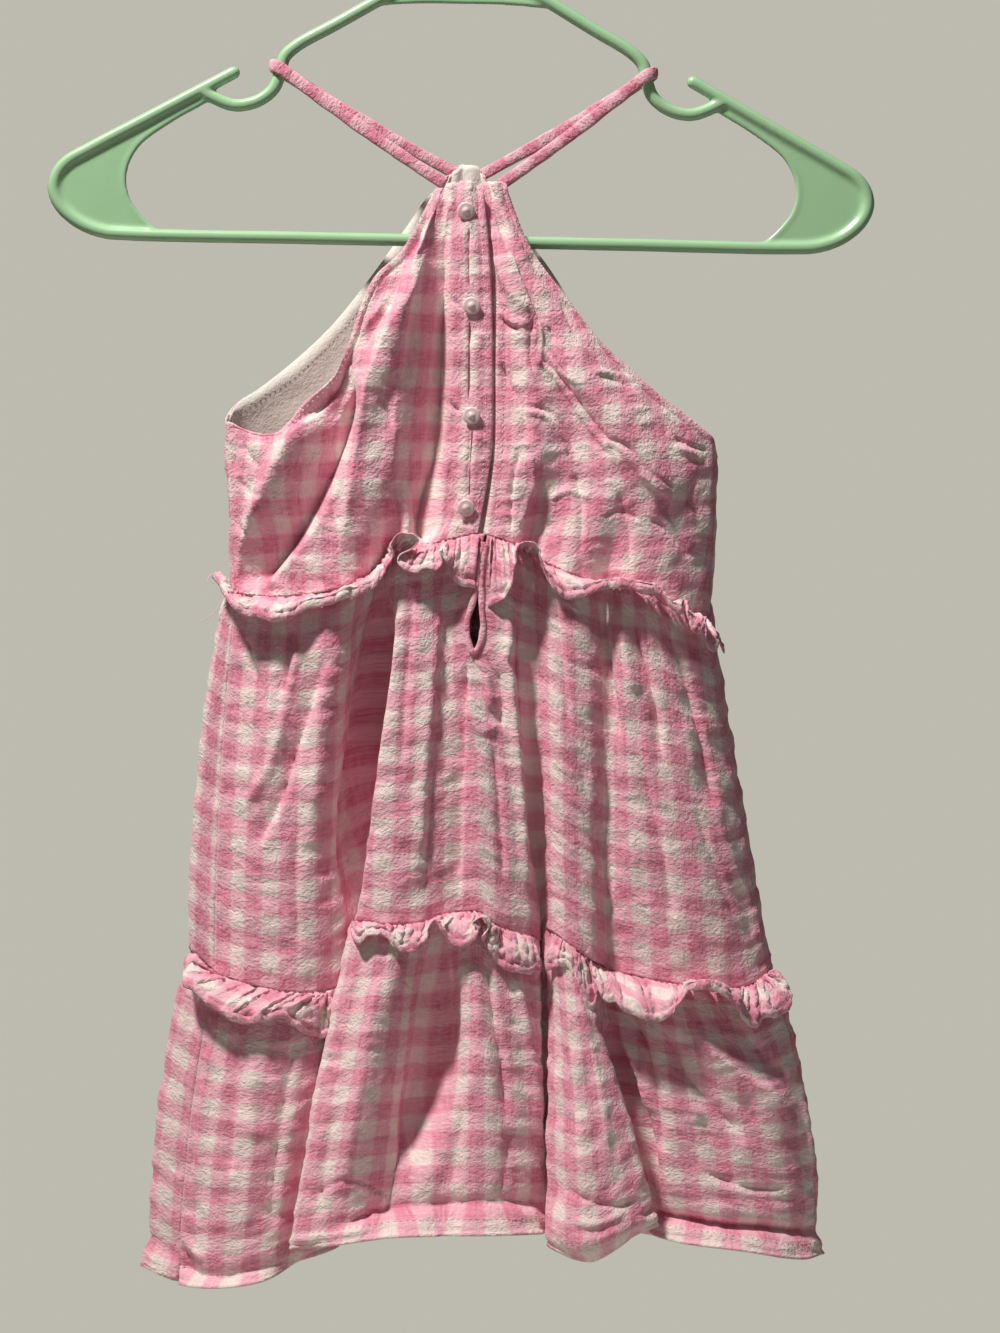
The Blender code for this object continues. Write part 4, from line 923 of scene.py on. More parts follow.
def bodiceGrid(gathers, columns, falls):
    rows = np.stack([gatherLine(gather, falls) for gather in gathers], 1)
    lands = np.array([gather[0] for gather in gathers], float)
    wanted = seamRing(0, np.interp(columns, np.arange(len(lands)), lands))
    feet = alongLine(seamRing(0, lands)[None], columns)[0]
    return alongLine(rows, columns) + (wanted - feet)[None] * ease((falls - 0.6) / 0.4)[:, None, None]


def bodiceSheet(settings, seed, straight):
    gathers = settings["gathers"]
    fine = np.linspace(0, len(gathers) - 1, 700)
    far = lengthsAlong(bodiceGrid(gathers, fine, np.array([0.75])), 1)[0]
    columns = np.interp(np.linspace(0, far[-1], settings["columns"]), far, fine)
    falls = np.linspace(0, 1, settings["rows"])
    grid = bodiceGrid(gathers, columns, falls)
    # the warp keeps to the middle edge and spreads from the gathered neck to its full width lower down
    arc = lengthsAlong(grid, 1)
    if straight == "right":
        arc = arc[:, -1:] - arc
    if straight == "middle":
        arc = arc - arc[:, -1:] * 0.49
    full = np.interp(falls, (0, 0.2, 0.45, 1), (0.62, 0.76, 0.87, 0.94))[:, None]
    u, v = arc / full, grid[..., 1] * 0.98
    edge, down = fromSides(grid), lengthsAlong(grid, 0)
    amount = crinkles(u, v, seed, 0.9) + wave(arc, 3.1, seed + 5) * np.exp(-down / 20) * 1.5
    amount = amount + 0.8 * ripple(u, v, 6, 7, seed + 8) * np.exp(-down / 30)
    amount = amount + 0.6 * wave(u, 4.6, seed + 6) * np.exp(-fromFoot(grid) / 9)
    grid[..., 1] += 1.3 * wave(arc, 4.2, seed + 9) * np.exp(-down / 5) * ease(edge / 3)
    return grid, u, v, amount, edge, falls


def sewnFolds(grid, settings):
    # the folds close up again on the seam, so that no light comes in there
    return 1.35 * creases(grid, settings["creases"]) * (0.12 + 0.88 * ease(fromFoot(grid) / 11))


def underlap(shaped, u, v):
    # the right half runs on under the buttoned edge, a little deeper
    share = np.linspace(1, 0, 7)[:-1][None, :, None]
    strip = shaped[:, :1] + np.concatenate([-6.5 * share, 0 * share, -2.6 * ease(share * 1.6)], -1)
    return (np.concatenate([strip, shaped], 1), np.concatenate([u[:, :1] - 6.5 * share[..., 0], u], 1),
            np.concatenate([np.repeat(v[:, :1], 6, 1), v], 1))


def makeBodice(name, node, settings, straight, toward, seed):
    grid, u, v, amount, edge, falls = bodiceSheet(settings, seed, straight)
    # a narrow turned edge along the armhole, with a groove where it is stitched
    bead = (0.45 * bell(edge - 1.6, 1.3) - 0.45 * bell(edge - 4.2, 0.8)) * (falls < armpit)[:, None]
    whole = pushed(grid, (amount + sewnFolds(grid, settings)) * ease(edge / 3.5) + bead, toward)
    shaped = whole
    if name == "bodiceBackRight":
        shaped, u, v = underlap(whole, u, v)
    piece = clothPiece(name, shaped, u, v, settings["thick"], checkedCotton)
    declare(piece, node)
    print("made", name)
    return whole


def makeBodiceLining():
    grid, u, v, _, edge, falls = bodiceSheet(bodiceFront, 271, "middle")
    # a little narrower than the panel over it, 1.5 to 3 mm inside it, and with the same folds
    side = (0.2 * falls - 0.6)[:, None] / np.maximum(lengthsAlong(grid, 1)[:, -1:], 1)
    last = grid.shape[1] - 1
    share = side + (1 - 2 * side) * np.linspace(0, 1, last + 1)[None]
    rows = np.stack([alongLine(line[None], places * last)[0] for line, places in zip(grid, share)])
    amount = sewnFolds(rows, bodiceFront) * ease(edge / 3.5) - (1.5 + 1.6 * falls)[:, None]
    keep = falls <= 0.97
    rows = pushed(rows, amount + 0.35 * ripple(u, v, 12, 9, 301), False)[keep]
    lining = clothPiece("bodiceLining", rows, u[keep], v[keep], 0.6, whiteCotton)
    declare(lining, "bodice_front_lining")
    spots, ways = onSurface(rows, 0.45)
    stop = int(len(rows) * 0.64)
    stitchRun("liningStitches", [(spots[:stop, column], ways[:stop, column]) for column in (1, -2)],
              0.0016, 0.0014, 0.00012, softThread)
    print("made bodiceLining")


tiers = {
    "middleBack": makeTier("middleTierBack", "middle_tier_back", 0, True, middleBack, 31),
    "bottomBack": makeTier("bottomTierBack", "bottom_tier_back", 1, True, bottomBack, 57),
    "middleFront": makeTier("middleTierFront", "middle_tier_front", 0, False, middleFront, 83),
    "bottomFront": makeTier("bottomTierFront", "bottom_tier_front", 1, False, bottomFront, 109),
}
bodice = {
    "left": makeBodice("bodiceBackLeft", "bodice_back_left", bodiceLeft, "right", True, 211),
    "right": makeBodice("bodiceBackRight", "bodice_back_right", bodiceRight, "left", True, 241),
    "far": makeBodice("bodiceFrontPanel", "bodice_front", bodiceFront, "middle", False, 271),
}
makeBodiceLining()


# ruffles. Each station is the place on the seam's ring that it is gathered from, then the lower rim
# as pixels across and down and mm out, then how far the turned edge points on (1) or hangs down (0)

ruffles = {
    "upperRuffleLeft": {
        "node": "upper_ruffle_back_left", "tier": 0, "flat": (222, 17), "seed": 401,
        "rim": (
            (0.0, 212, 578, 6, 0.3), (0.12, 221, 590, 14, 0.2), (0.3, 228, 604, 20, 0.1),
            (0.7, 240, 614, 24, 0), (1.2, 256, 619, 26, 0), (1.6, 275, 622, 27, 0), (2.0, 292, 620, 27, 0),
            (2.25, 305, 611, 27, 0), (2.6, 325, 606, 28, 0), (2.95, 345, 600, 28, 0), (3.3, 367, 593, 28, 0),
            (3.7, 380, 581, 28, 0.1), (3.9, 387, 569, 29, 0.6), (4.05, 393, 556, 31, 1),
            (4.3, 391, 543, 32, 1), (4.7, 400, 534, 32, 1), (5.1, 413, 534, 32, 1), (5.5, 418, 541, 31, 1),
            (5.7, 410, 550, 30, 1), (5.9, 400, 556, 30, 1), (6.1, 398, 565, 30, 0.8),
            (6.4, 406, 572, 30, 0.6), (6.8, 418, 573, 31, 0.5), (7.1, 425, 568, 32, 0.8),
            (7.3, 436, 571, 32, 0.5), (7.5, 442, 563, 32, 1), (7.7, 440, 553, 32, 1),
            (7.9, 446, 563, 31, 0.6), (8.15, 452, 577, 28, 0.3), (8.5, 462, 586, 25, 0.2),
            (8.98, 475, 589, 23, 0.2)),
    },
    "upperRuffleRight": {
        "node": "upper_ruffle_back_right", "tier": 0, "flat": (222, 17), "seed": 433,
        "rim": (
            (10.02, 488, 608, 22, 0.2), (10.2, 494, 606, 24, 0.2), (10.45, 505, 597, 27, 0.5),
            (10.7, 513, 579, 30, 1), (10.9, 516, 563, 32, 1), (11.1, 517, 550, 33, 1),
            (11.4, 523, 543, 33, 1), (11.8, 532, 543, 33, 1), (12.1, 539, 549, 32, 1),
            (12.4, 541, 562, 31, 0.9), (12.8, 547, 578, 30, 0.5), (13.2, 556, 593, 29, 0.3),
            (13.8, 568, 601, 28, 0.1), (14.6, 584, 597, 29, 0), (15.4, 600, 592, 30, 0),
            (16.2, 618, 589, 30, 0), (17.0, 634, 590, 30, 0), (17.6, 650, 593, 30, 0),
            (18.0, 662, 600, 29, 0), (18.3, 672, 611, 29, 0), (18.5, 681, 615, 28, 0.1),
            (18.7, 687, 608, 25, 0.4), (18.9, 689, 618, 27, 0.2), (19.05, 692, 631, 28, 0),
            (19.2, 700, 635, 27, 0.1), (19.35, 706, 626, 23, 0.4), (19.5, 706, 636, 24, 0.2),
            (19.65, 708, 648, 23, 0), (19.8, 715, 652, 19, 0.1), (19.88, 719, 643, 14, 0.3),
            (19.98, 724, 654, 8, 0.3)),
    },
    "lowerRuffleLeft": {
        "node": "lower_ruffle_back_left", "tier": 1, "flat": (118, 20), "seed": 467,
        "rim": (
            (0.0, 186, 958, 4, 0.5), (0.08, 184, 972, 10, 0.4), (0.15, 182, 982, 15, 0.3),
            (0.3, 190, 991, 20, 0.1), (0.5, 200, 997, 23, 0.1), (0.8, 210, 1005, 26, 0),
            (1.1, 220, 1012, 28, 0), (1.5, 235, 1021, 30, 0), (1.8, 250, 1026, 31, 0),
            (2.05, 266, 1022, 32, 0), (2.25, 280, 1019, 32, 0), (2.45, 292, 1024, 30, 0),
            (2.6, 303, 1034, 28, 0), (2.72, 318, 1037, 25, 0), (2.8, 334, 1034, 20, 0)),
    },
    "lowerRuffleMiddle": {
        "node": "lower_ruffle_back_middle", "tier": 1, "flat": (150, 15), "seed": 499,
        "rim": (
            (5.0, 352, 936, 28, 0.5), (5.3, 360, 944, 34, 0.4), (5.6, 369, 937, 36, 0.7),
            (5.9, 378, 935, 37, 0.5), (6.1, 386, 939, 37, 0.3), (6.4, 394, 947, 37, 0.2),
            (6.8, 407, 952, 37, 0.2), (7.15, 420, 948, 37, 0.3), (7.4, 427, 938, 38, 0.8),
            (7.55, 428, 928, 39, 1), (7.75, 435, 921, 39, 1), (7.95, 441, 929, 39, 1),
            (8.15, 447, 939, 38, 0.5), (8.45, 457, 947, 37, 0.3), (8.75, 470, 943, 37, 0.3),
            (8.92, 477, 934, 38, 0.8), (9.05, 474, 925, 38, 1), (9.25, 482, 920, 38, 1),
            (9.4, 487, 929, 37, 1), (9.5, 483, 941, 36, 0.7), (9.75, 490, 955, 35, 0.3),
            (10.1, 503, 968, 34, 0.1), (10.5, 521, 973, 32, 0), (10.95, 541, 972, 28, 0)),
    },
    "lowerRuffleRight": {
        "node": "lower_ruffle_back_right", "tier": 1, "flat": (200, 19), "seed": 523,
        "rim": (
            (13.5, 546, 972, 24, 0), (13.8, 556, 970, 29, 0), (14.15, 567, 969, 30, 0.1),
            (14.45, 577, 984, 31, 0.4), (14.65, 585, 1003, 30, 0.3), (14.85, 593, 1008, 30, 0.3),
            (15.1, 597, 993, 32, 0.5), (15.5, 604, 999, 33, 0.2), (15.9, 616, 1004, 35, 0.1),
            (16.3, 625, 1014, 36, 0.1), (16.7, 638, 1020, 37, 0.1), (17.1, 655, 1023, 37, 0.1),
            (17.5, 669, 1019, 37, 0.2), (17.75, 679, 1007, 37, 0.6), (17.9, 684, 994, 38, 0.5),
            (18.1, 690, 990, 38, 0), (18.4, 701, 989, 38, 0), (18.7, 715, 992, 37, 0),
            (18.95, 729, 1001, 35, 0), (19.15, 740, 1014, 31, 0.1), (19.35, 751, 1028, 27, 0.2),
            (19.6, 765, 1020, 22, 0.2), (19.8, 786, 1011, 15, 0.2), (19.9, 789, 995, 9, 0.3),
            (19.98, 781, 977, 3, 0.5)),
    },
    "upperRuffleFront": {"node": "upper_ruffle_front", "tier": 0, "flat": (317, 16), "seed": 547},
    "lowerRuffleFront": {"node": "lower_ruffle_front", "tier": 1, "flat": (380, 17), "seed": 571},
}
ruffleMake = {"fine": 12, "across": 18, "hem": 5.0, "thick": 0.7}


def farRim(tier, seed):
    # the far ruffles stand off and hang as the near ones do, at uneven steps
    stations = []
    place, step = sideRow + 0.02, 0
    while place < ringSize - 0.05:
        across, drop, out = seamRing(tier, np.array([place]))[0]
        swing = math.sin(step * 1.9 + wave(step, 3, seed))
        middle = 1 - abs((place - sideRow) / (ringSize - sideRow) * 2 - 1) ** 6
        across += 4.5 * math.sin(step * 1.9 + 1.2) * middle
        drop += 8.5 + 4.0 * wave(step, 1.7, seed + 1)
        out -= 4 + 7.5 * middle + 2.5 * swing * middle
        stations.append((place, across * 2 + 460, drop * 2 - 207, out, 0.35 + 0.35 * swing))
        place += 0.36 + 0.08 * wave(step, 1, seed + 2)
        step += 1
    return stations


def makeRuffle(name, settings):
    tier, seed, far = settings["tier"], settings["seed"], "rim" not in settings
    sign = -1.0 if far else 1.0
    rim = np.array(settings.get("rim") or farRim(tier, seed), float)
    stations = np.arange(len(rim))
    places = np.linspace(0, len(rim) - 1, (len(rim) - 1) * ruffleMake["fine"] + 1)
    edge = alongLine(fromPicture(rim[:, 1], rim[:, 2], rim[:, 3])[None], places)[0]
    turn = np.interp(places, stations, rim[:, 4])[:, None]
    length = lengthsAlong(edge[None], 1)[0]
    # the rim is crumpled between the larger waves, and calm at the strip's ends
    crumple = 0.5 if tier == 0 else 1.0
    loose = crumple * ease(np.minimum(length, length[-1] - length) / 6)[:, None]
    edge = edge + loose * np.stack([
        0.8 * wave(length, 5, seed + 21),
        1.1 * wave(length, 6.5, seed + 22) + 0.5 * wave(length, 3, seed + 23),
        sign * 1.1 * wave(length, 5.5, seed + 24)], -1)
    tuck = wave(length, 3.0, seed) + 0.8 * wave(length, 1.8, seed + 9)
    base = seamRing(tier, np.interp(places, stations, rim[:, 0]))
    base = base + np.stack([0.8 * wave(length, 4.1, seed + 1), 0.5 + 0.4 * tuck,
                            sign * (1.4 + 0.7 * tuck)], -1)
    back = base - edge
    back /= np.maximum(np.linalg.norm(back, axis=1, keepdims=True), 1e-6)
    way = (1 - turn) * np.array([0.0, -1.0, 0.0]) + turn * back
    way /= np.maximum(np.linalg.norm(way, axis=1, keepdims=True), 1e-6)
    crease = edge + way * ruffleMake["hem"] + np.array([0, 0, sign * 0.6]) * (1 - turn)
    middle = (base + crease) / 2 + np.array([0, -1.2, sign * 2.2]) * (1 - 0.6 * turn)
    rows, shares = [], np.linspace(0, 1, ruffleMake["across"])
    for share in shares:
        if share < 0.68:
            t = share / 0.68
            point = base * (1 - t) ** 2 + middle * 2 * t * (1 - t) + crease * t * t
        else:
            t = (share - 0.68) / 0.32
            point = crease * (1 - t) + edge * t
        gathered = tuck * bell(share - 0.15, 0.42)
        rows.append(point + gathered[:, None] * np.array([0.5, 0.5, sign * 1.6]))
    grid = np.stack(rows)
    u, down = np.broadcast_to(length, grid.shape[:2]), lengthsAlong(grid, 0)
    bump = 0.5 * ripple(u, down, 3.4, 3.2, seed + 3) + 0.5 * wave(u, 5, seed + 4)
    bump = bump - 0.5 * np.abs(ripple(u + down, down, 5, 4, seed + 5))
    for lean, height, more in ((0.8, 0.9, 25), (-0.8, -0.8, 26), (0.2, 0.6, 27)):
        line = ripple(u + lean * down, down, 6, 9, seed + more)
        bump = bump + crumple * height * np.maximum(0, 1 - np.abs(line) / 0.28)
    groove = 0.45 * bell(shares - 0.86, 0.08) - 0.9 * bell(shares - 0.72, 0.05)
    calm = 1 - 0.6 * ease((shares - 0.78) / 0.22)
    grid = pushed(grid, (bump * calm[:, None] + groove[:, None]) * ease(down / 2), not far)
    piece = clothPiece(name, grid, u, down + 3 * seed, ruffleMake["thick"], checkedCotton)
    declare(piece, settings["node"])
    print("made", name, round(float(length[-1]), 1), "mm long")


for ruffleName, ruffleSettings in ruffles.items():
    makeRuffle(ruffleName, ruffleSettings)


# straps: narrow turned tubes of the same cloth, from the near neck round the hanger to the far neck

straps = {
    "wide": 5.4, "thick": 1.6, "sides": 20, "runs": 70,
    # the loop's middle as (across, drop), its radius, how far it rides up the step, and how far a run sags
    "loop": (91.3, 140.5), "ring": 4.85, "rise": 2.0, "sag": 1.2,
    "strapLeft": {"side": -1, "near": (-7.5, 196, 6.4), "far": (-1.5, 189.5, -9.2), "node": "strap_left",
                  "flat": (13, 212)},
    "strapRight": {"side": 1, "near": (20.5, 196, 6.4), "far": (11.5, 189.5, -9.4), "node": "strap_right",
                   "flat": (13, 195)},
}
hangerRoll = math.radians(1.2)    # the hanger hangs a little lower on its right


def onHanger(across, drop, out=0.0):
    cos, sin = math.cos(hangerRoll), math.sin(hangerRoll)
    return np.array([across * cos - drop * sin, -out, -(across * sin + drop * cos)]) * 0.001


def strapRun(start, end, shares):
    shares = shares[:, None]
    sag = np.array([0, 0, straps["sag"] * -0.001]) * np.sin(math.pi * shares)
    return start * (1 - shares) + end * shares + sag


def makeStrap(name):
    settings, runs = straps[name], straps["runs"]
    side = settings["side"]
    turns = np.radians(np.linspace(-90, 90, 33))
    radial = np.stack([side * np.cos(turns), np.sin(turns), 0 * turns], -1)
    rise = np.stack([0 * turns, 0 * turns, straps["rise"] * np.cos(turns)], -1)
    loop = onHanger(side * straps["loop"][0], straps["loop"][1]) + (radial * straps["ring"] + rise) * 0.001
    near, far = (toRow(np.array(settings[end], float)) for end in ("near", "far"))
    path = np.concatenate([strapRun(near, loop[0], np.arange(runs) / runs), loop,
                           strapRun(loop[-1], far, np.arange(1, runs + 1) / runs)])
    facing = np.concatenate([np.tile([0.0, -1.0, 0.0], (runs, 1)), radial,
                             np.tile([0.0, 1.0, 0.0], (runs, 1))])
    length = lengthsAlong(path[None], 1)[0] * 1000
    wide = (straps["wide"] + 0.45 * wave(length, 9, 611) + 0.2 * wave(length, 3.5, 613)) * 0.001
    thick = (straps["thick"] + 0.25 * wave(length, 5, 617)) * 0.001
    strap = rolledCloth(name, path, facing, wide, thick, straps["sides"], (0.002, 0.0065), 0.97, 0.0004)
    declare(strap, settings["node"])
    print("made", name, round(float(length[-1]), 1), "mm long")


# hanger: round tubes and thin corner plates that run into each other as one moulding

hanger = {
    # radii of the tubes and of the plates' rims, thickness of the plates, all in mm
    "tube": 3.25, "rim": 1.5, "plate": 2.0, "hookInside": 19.0, "voxel": 0.95,
    "lower": ((114.8, 142.5), (135, 153.7), (160, 167.6), (185, 181.4), (197.5, 189), (202.3, 195.5),
              (203.5, 203), (200, 211), (191, 218.8), (179, 223.4), (165, 224.4), (80, 224.4), (0, 224.4)),
    "yoke": ((131, 151.5), (124, 155.5), (114, 158.8), (103.5, 156.8), (95, 150.5), (91.6, 142),
             (89.8, 134.5), (84, 128.6), (64, 117), (43, 104.6), (21, 91.8), (0, 79.5)),
    "shank": ((0, 83), (0, 70), (0, 60), (1.5, 52), (6.5, 44.2)),
    "corner": ((128.5, 156.5), (147, 167.5), (162.5, 179.8), (168.5, 193), (167, 206), (158, 218),
               (150, 224.4)),
    "top": ((46, 106.4), (23, 104.6), (0, 104.4)),
    "hookTurn": (138, -118, -16),   # degrees round from the crown
}


def mirrored(half):
    return [(-a, d) for a, d in half] + [spot for spot in reversed(half) if spot[0] > 0]


def roundEnds(path, radius):
    steps = np.array((0.35, 0.65, 0.87, 0.97))
    first, last = path[0] - path[1], path[-1] - path[-2]
    head = path[0] + first / np.linalg.norm(first) * radius * steps[::-1, None]
    tail = path[-1] + last / np.linalg.norm(last) * radius * steps[:, None]
    widths = np.sqrt(1 - steps ** 2)
    return np.concatenate([head, path, tail]), np.concatenate([widths[::-1], np.ones(len(path)), widths])


def makeHanger():
    verts, faces = [], []

    def take(newVerts, newFaces):
        base = sum(len(v) for v in verts)
        verts.append(np.asarray(newVerts))
        faces.extend(tuple(i + base for i in face) for face in newFaces)

    def tube(spots, radius):
        points = np.array([onHanger(*spot) for spot in spots])
        curve = alongLine(points[None], np.linspace(0, len(points) - 1, (len(points) - 1) * 8 + 1))[0]
        path, widths = roundEnds(curve, radius * 0.001)
        facing = np.tile([0.0, -1.0, 0.0], (len(path), 1))
        rings, sides, ends = sweep(path, widths * radius * 0.002, widths * radius * 0.002, facing, 20)
        take(rings, sides + ends)

    def plate(outline):
        half, count = hanger["plate"] / 2, len(outline)
        take([onHanger(a, d, out) for out in (half, -half) for a, d in outline],
             [tuple(range(count)), tuple(reversed(range(count, 2 * count))),
              *((k + count, (k + 1) % count + count, (k + 1) % count, k) for k in range(count))])

    tube(mirrored(hanger["lower"]), hanger["tube"])
    tube(mirrored(hanger["yoke"]), hanger["tube"])
    inside = hanger["hookInside"]
    turns = [math.radians(turn) for turn in range(*hanger["hookTurn"])]
    radius = inside + hanger["tube"]
    hook = [(radius * math.sin(turn), inside - radius * math.cos(turn)) for turn in turns]
    tube([*hanger["shank"], *hook], hanger["tube"])
    for sign in (1, -1):
        tube([(sign * a, d) for a, d in hanger["corner"]], hanger["rim"])
        outline = [(sign * a, d) for a, d in (*hanger["lower"][1:-2], *reversed(hanger["corner"])) if a > 126]
        plate(outline[::sign])
    tube(mirrored(hanger["top"]), hanger["rim"])
    plate([(0, 79.5), (43, 104.6), *hanger["top"], *((-a, d) for a, d in reversed(hanger["top"][:-1])),
           (-43, 104.6)])
    moulding = newObject("hangerPlastic", np.concatenate(verts), faces, mintPlastic)
    melt = moulding.modifiers.new("melt", "REMESH")
    melt.mode = "VOXEL"
    melt.voxel_size = hanger["voxel"] * 0.001
    even = moulding.modifiers.new("even", "SMOOTH")
    even.factor = 0.5
    even.iterations = 5
    graph = bpy.context.evaluated_depsgraph_get()
    done = bpy.data.meshes.new_from_object(moulding.evaluated_get(graph))
    moulding.modifiers.clear()
    moulding.data = done
    done.materials.clear()
    done.materials.append(mintPlastic)
    done.polygons.foreach_set("use_smooth", np.full(len(done.polygons), True))
    declare(moulding, "hanger")
    print("made the hanger,", len(done.polygons), "faces")


makeHanger()
makeStrap("strapLeft")
makeStrap("strapRight")


# opening: rolled binding, and the thread in the ruffled seams

def openingBinding():
    shaped, places, falls = tiers["middleBack"]
    rows = np.flatnonzero(falls <= slit["fall"] + 1e-6)[3:]
    left, right = (shaped[rows, int(np.argmin(np.abs(places - slit[lip])))] for lip in ("left", "right"))
    bottom = (left[-1] + right[-1]) / 2 + np.array([0, 1.6, 0.2])
    line = (np.concatenate([left[:-1], bottom[None], right[-2::-1]]) + np.array([0, 0, 0.5]))[::3]
    path = toRow(alongLine(line[None], np.linspace(0, len(line) - 1, 150))[0])
    wide = (2.3 + 0.5 * wave(lengthsAlong(path[None], 1)[0] * 1000, 4, 631)) * 0.001
    facing = np.tile([0.0, -1.0, 0.0], (len(path), 1))
    roll = rolledCloth("openingBinding", path, facing, wide, 0.0019, 14, (0, 0.0045), 1, 0.0003)
    declare(roll, "opening_binding")


def seamThreads():
    runs = []
    for tier, first, last in ((0, 0.05, 8.95), (0, 10.05, 19.95), (0, 20.05, 33.95),
                              (1, 0.05, 19.95), (1, 20.05, 33.95)):
        places = np.linspace(first, last, int((last - first) * 24))
        sign = np.where(places < sideRow, 1.0, -1.0)
        line = seamRing(tier, places) + np.stack([0 * places, -0.7 + 0 * places, sign * 0.75], -1)
        runs.append((toRow(line), np.stack([0 * places, -sign, 0 * places], -1)))
    stitchRun("seamThreads", runs, 0.0021, 0.0007, 0.00022, darkThread)


openingBinding()
seamThreads()


# buttons

buttons = {
    # pixel across and down, how far the button leans down in degrees
    "places": ((466, 211, 14), (471.5, 306, 8), (471.5, 416, 6), (466, 508, 12)),
    # (radius, height) in mm: the foot, the rim, the dish and the small dome in its middle
    "profile": ((3.3, 0), (4.1, 0.25), (4.35, 0.75), (4.2, 1.15), (3.8, 1.4), (3.3, 1.5), (2.8, 1.52),
                (2.3, 1.58), (1.8, 1.75), (1.4, 2.05), (0.95, 2.35), (0.45, 2.5)),
    "top": 2.53, "sides": 40, "lift": 1.3,
}


def makeButton(number, px, py, lean):
    row, column = nearest(bodice["left"], px, py)
    point, normal = bodice["left"][row, column], outwardNormals(bodice["left"], True)[row, column]
    sides, rings = buttons["sides"], len(buttons["profile"])
    turns = np.linspace(0, math.tau, sides, endpoint=False)
    verts = [(0, 0, 0)]
    for radius, height in buttons["profile"]:
        verts += [(radius * math.cos(t), radius * math.sin(t), height) for t in turns]
    verts.append((0, 0, buttons["top"]))
    faces = []
    for k in range(sides):
        other = (k + 1) % sides
        faces.append((0, 1 + other, 1 + k))
        faces += [(base + k, base + other, base + sides + other, base + sides + k)
                  for base in range(1, 1 + (rings - 1) * sides, sides)]
        base = 1 + (rings - 1) * sides
        faces.append((base + k, base + other, len(verts) - 1))
    way = Vector((0.10 * normal[0], -1, -math.sin(math.radians(lean)))).normalized()
    turned = way.to_track_quat("Z", "Y").to_matrix()
    place = Vector(toRow(fromPicture(px, py, point[2] + buttons["lift"])))
    verts = [place + turned @ (Vector(v) * 0.001) for v in verts]
    button = newObject(f"button{number}", verts, faces, pearlResin)
    declare(button, f"button_{number}")


for buttonNumber, buttonPlace in enumerate(buttons["places"], 1):
    makeButton(buttonNumber, *buttonPlace)
print("made the buttons")


# threads and stitches that show

threads = {
    # down the folded edge between the buttons, in pixels
    "plackThread1": ((469, 228), (468.5, 258), (469, 291)),
    "plackThread2": ((469, 320), (468.5, 360), (468, 400)),
    "plackThread3": ((472, 431), (471, 452), (470, 470), (469, 496)),
    # frayed ends at the left end of the upper ruffle, in pixels and mm out
    "looseThread1": ((222, 600, 14), (216, 611, 15), (208, 618, 15), (199, 622, 14)),
    "looseThread2": ((226, 606, 15), (221, 613, 16), (219, 621, 16)),
    "looseThread3": ((214, 574, 6), (209, 577, 7), (207, 583, 8)),
}


def makeThreads():
    left, right = bodice["left"], bodice["right"]
    for name, places in threads.items():
        places = np.array(places, float)
        if places.shape[1] == 3:
            fine = alongLine(places[None], np.linspace(0, len(places) - 1, 25))[0]
            threadAlong(name, toRow(fromPicture(*fine.T)), 0.00018, paleThread, 5)
            continue
        fine = alongLine(places[None], np.linspace(0, len(places) - 1, (len(places) - 1) * 8 + 1))[0]
        out = [left[nearest(left, px, py)][2] for px, py in fine]
        out = np.convolve(np.pad(out, 2, "edge"), np.ones(5) / 5, "valid")
        threadAlong(name, toRow(fromPicture(*fine.T, out + 0.45)), 0.0003, darkThread, 6)
    leftSpots, leftWays = onSurface(left, 0.5)
    rightSpots, rightWays = onSurface(right, 0.5)
    lips = [(leftSpots[:, -4], leftWays[:, -4]), (rightSpots[12:, 3], rightWays[12:, 3])]
    stitchRun("openingStitches", lips, 0.0019, 0.0012, 0.00026, paleThread)
    stop = int(len(left) * armpit)
    armholes = [(leftSpots[:stop, 5], leftWays[:stop, 5]), (rightSpots[:stop, -6], rightWays[:stop, -6])]
    stitchRun("armholeStitches", armholes, 0.0022, 0.0011, 0.00022, paleThread)
    hems = []
    for name, back, height in (("bottomBack", True, 8), ("bottomFront", False, 12.4)):
        shaped, _, falls = tiers[name]
        spots, ways = onSurface(shaped, 0.5, back)
        row = int(np.argmin(np.abs((1 - falls) * bottomBack["flat"][1] - height)))
        hems.append((spots[row], ways[row]))
    stitchRun("hemStitches", hems, 0.0018, 0.0014, 0.00013, softThread)
    print("made the threads")


makeThreads()


# floor, light and camera

studio = {
    "keyWay": (-0.37, -0.35, 0.86),   # from the dress towards the light
    "keyFar": 2.1, "keySize": 0.26, "keyPower": 56, "keyColour": (1.0, 0.95, 0.88),
    "fillWay": (0.5, -1.0, 0.1),
    "fillFar": 2.2, "fillSize": 1.6, "fillPower": 0.8, "fillColour": (1.0, 0.95, 0.95),
    "target": (0.01, 0, -0.44),
    "air": "#E2DFD6", "airStrength": 0.13,
    # the same air as the lens sees it, paler than the light it gives
    "seen": "#BDBBAF", "seenStrength": 1.0,
    "floor": "#DEDBD3", "floorCloud": "#D6D3CA", "floorDrop": -0.95, "floorSide": 1.1,
}


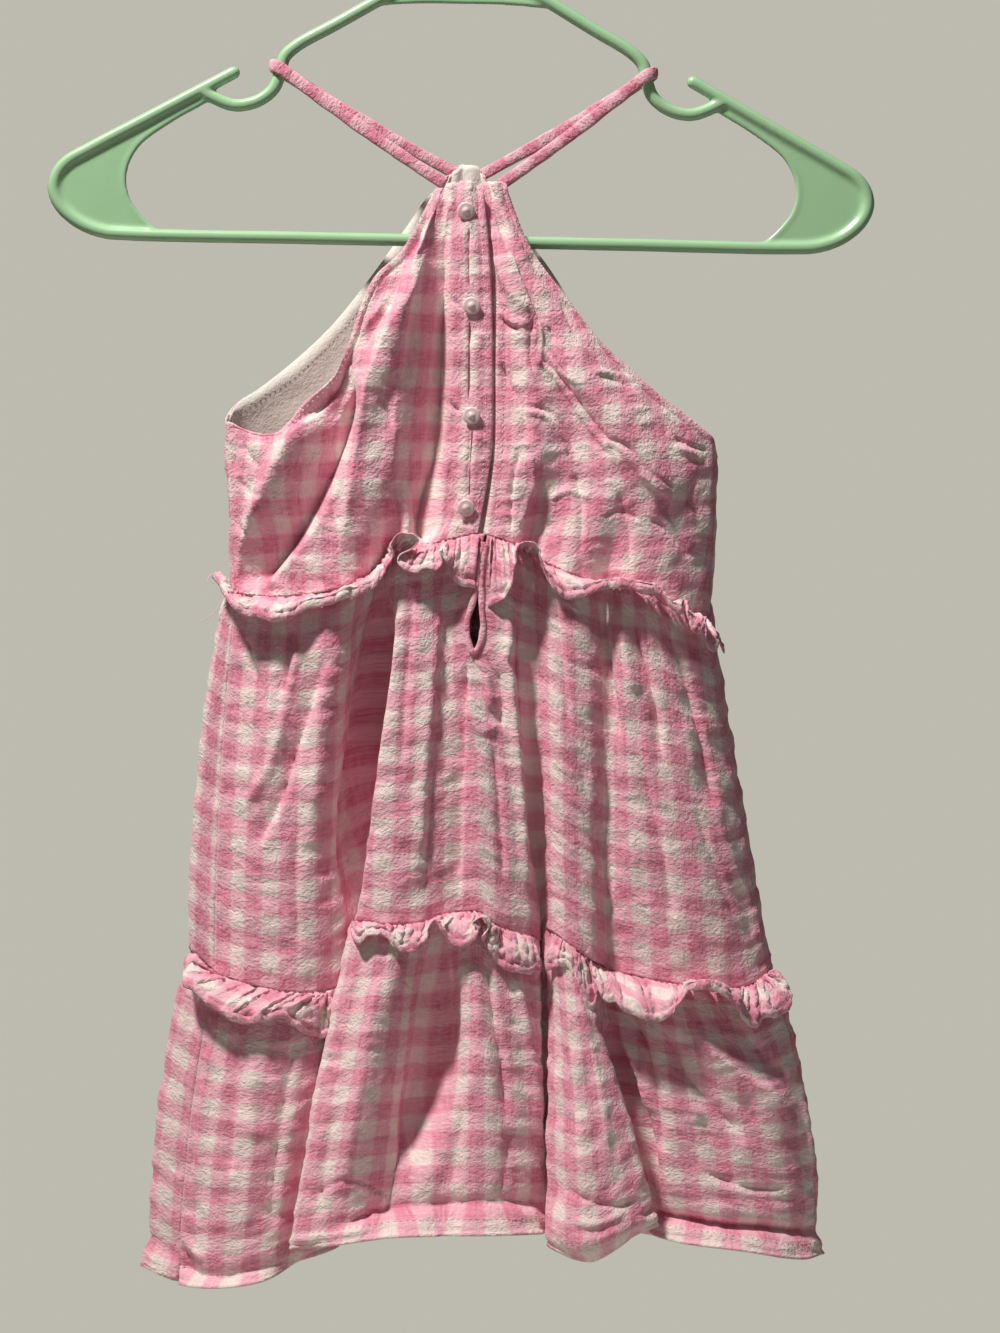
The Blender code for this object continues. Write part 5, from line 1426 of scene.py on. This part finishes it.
def areaLight(name, shape):
    lamp = bpy.data.lights.new(name, "AREA")
    lamp.shape = shape
    lamp.size = studio[name + "Size"]
    lamp.energy = studio[name + "Power"]
    lamp.color = studio[name + "Colour"]
    way = Vector(studio[name + "Way"]).normalized()
    thing = bpy.data.objects.new(name, lamp)
    thing.location = Vector(studio["target"]) + way * studio[name + "Far"]
    thing.rotation_mode = "QUATERNION"
    thing.rotation_quaternion = way.to_track_quat("Z", "Y")
    bpy.context.scene.collection.objects.link(thing)


def makeStudio():
    scene = bpy.context.scene
    scene.view_settings.view_transform = "Standard"
    # Painted board: matt and pale, slightly clouded by use.
    material, tree, shader = newMaterial("painted floor board", {"Roughness": 0.7})
    solid = addNode(tree, "TexCoord").outputs["Object"]
    cloud = addNode(tree, "TexNoise", inputs={"Scale": 3.0, "Detail": 3.0, "Vector": solid})
    colours = {0: cloud, 6: fromHex(studio["floor"]), 7: fromHex(studio["floorCloud"])}
    tree.links.new(addNode(tree, "Mix", mixing, colours).outputs[2], shader.inputs["Base Color"])
    half = studio["floorSide"] / 2
    square = ((-half, -half), (half, -half), (half, half), (-half, half))
    corners = [(x, y, studio["floorDrop"]) for x, y in square]
    newObject("floor", corners, [(0, 1, 2, 3)], material)
    areaLight("key", "DISK")
    areaLight("fill", "SQUARE")
    world = bpy.data.worlds.new("studio air")
    scene.world = world
    world.use_nodes = True
    tree = world.node_tree
    tree.nodes.clear()
    lit, seen = (addNode(tree, "Background", inputs={
        "Color": fromHex(studio[kind]), "Strength": studio[kind + "Strength"]}) for kind in ("air", "seen"))
    fromLens = addNode(tree, "LightPath").outputs["Is Camera Ray"]
    either = addNode(tree, "MixShader", inputs={0: fromLens, 1: lit, 2: seen})
    addNode(tree, "OutputWorld", inputs={"Surface": either})
    camera = bpy.data.cameras.new("camera")
    camera.sensor_width = view["sensor"]
    camera.lens = view["sensor"] * view["distance"] / view["tall"]
    camera.clip_start, camera.clip_end = 0.05, 50
    eye = bpy.data.objects.new("camera", camera)
    eye.location = (view["centreX"] * 0.001, -view["distance"] * 0.001, view["centreZ"] * 0.001)
    eye.rotation_euler = (math.pi / 2, 0, 0)
    scene.collection.objects.link(eye)
    scene.camera = eye
    print("lights and camera set")


makeStudio()
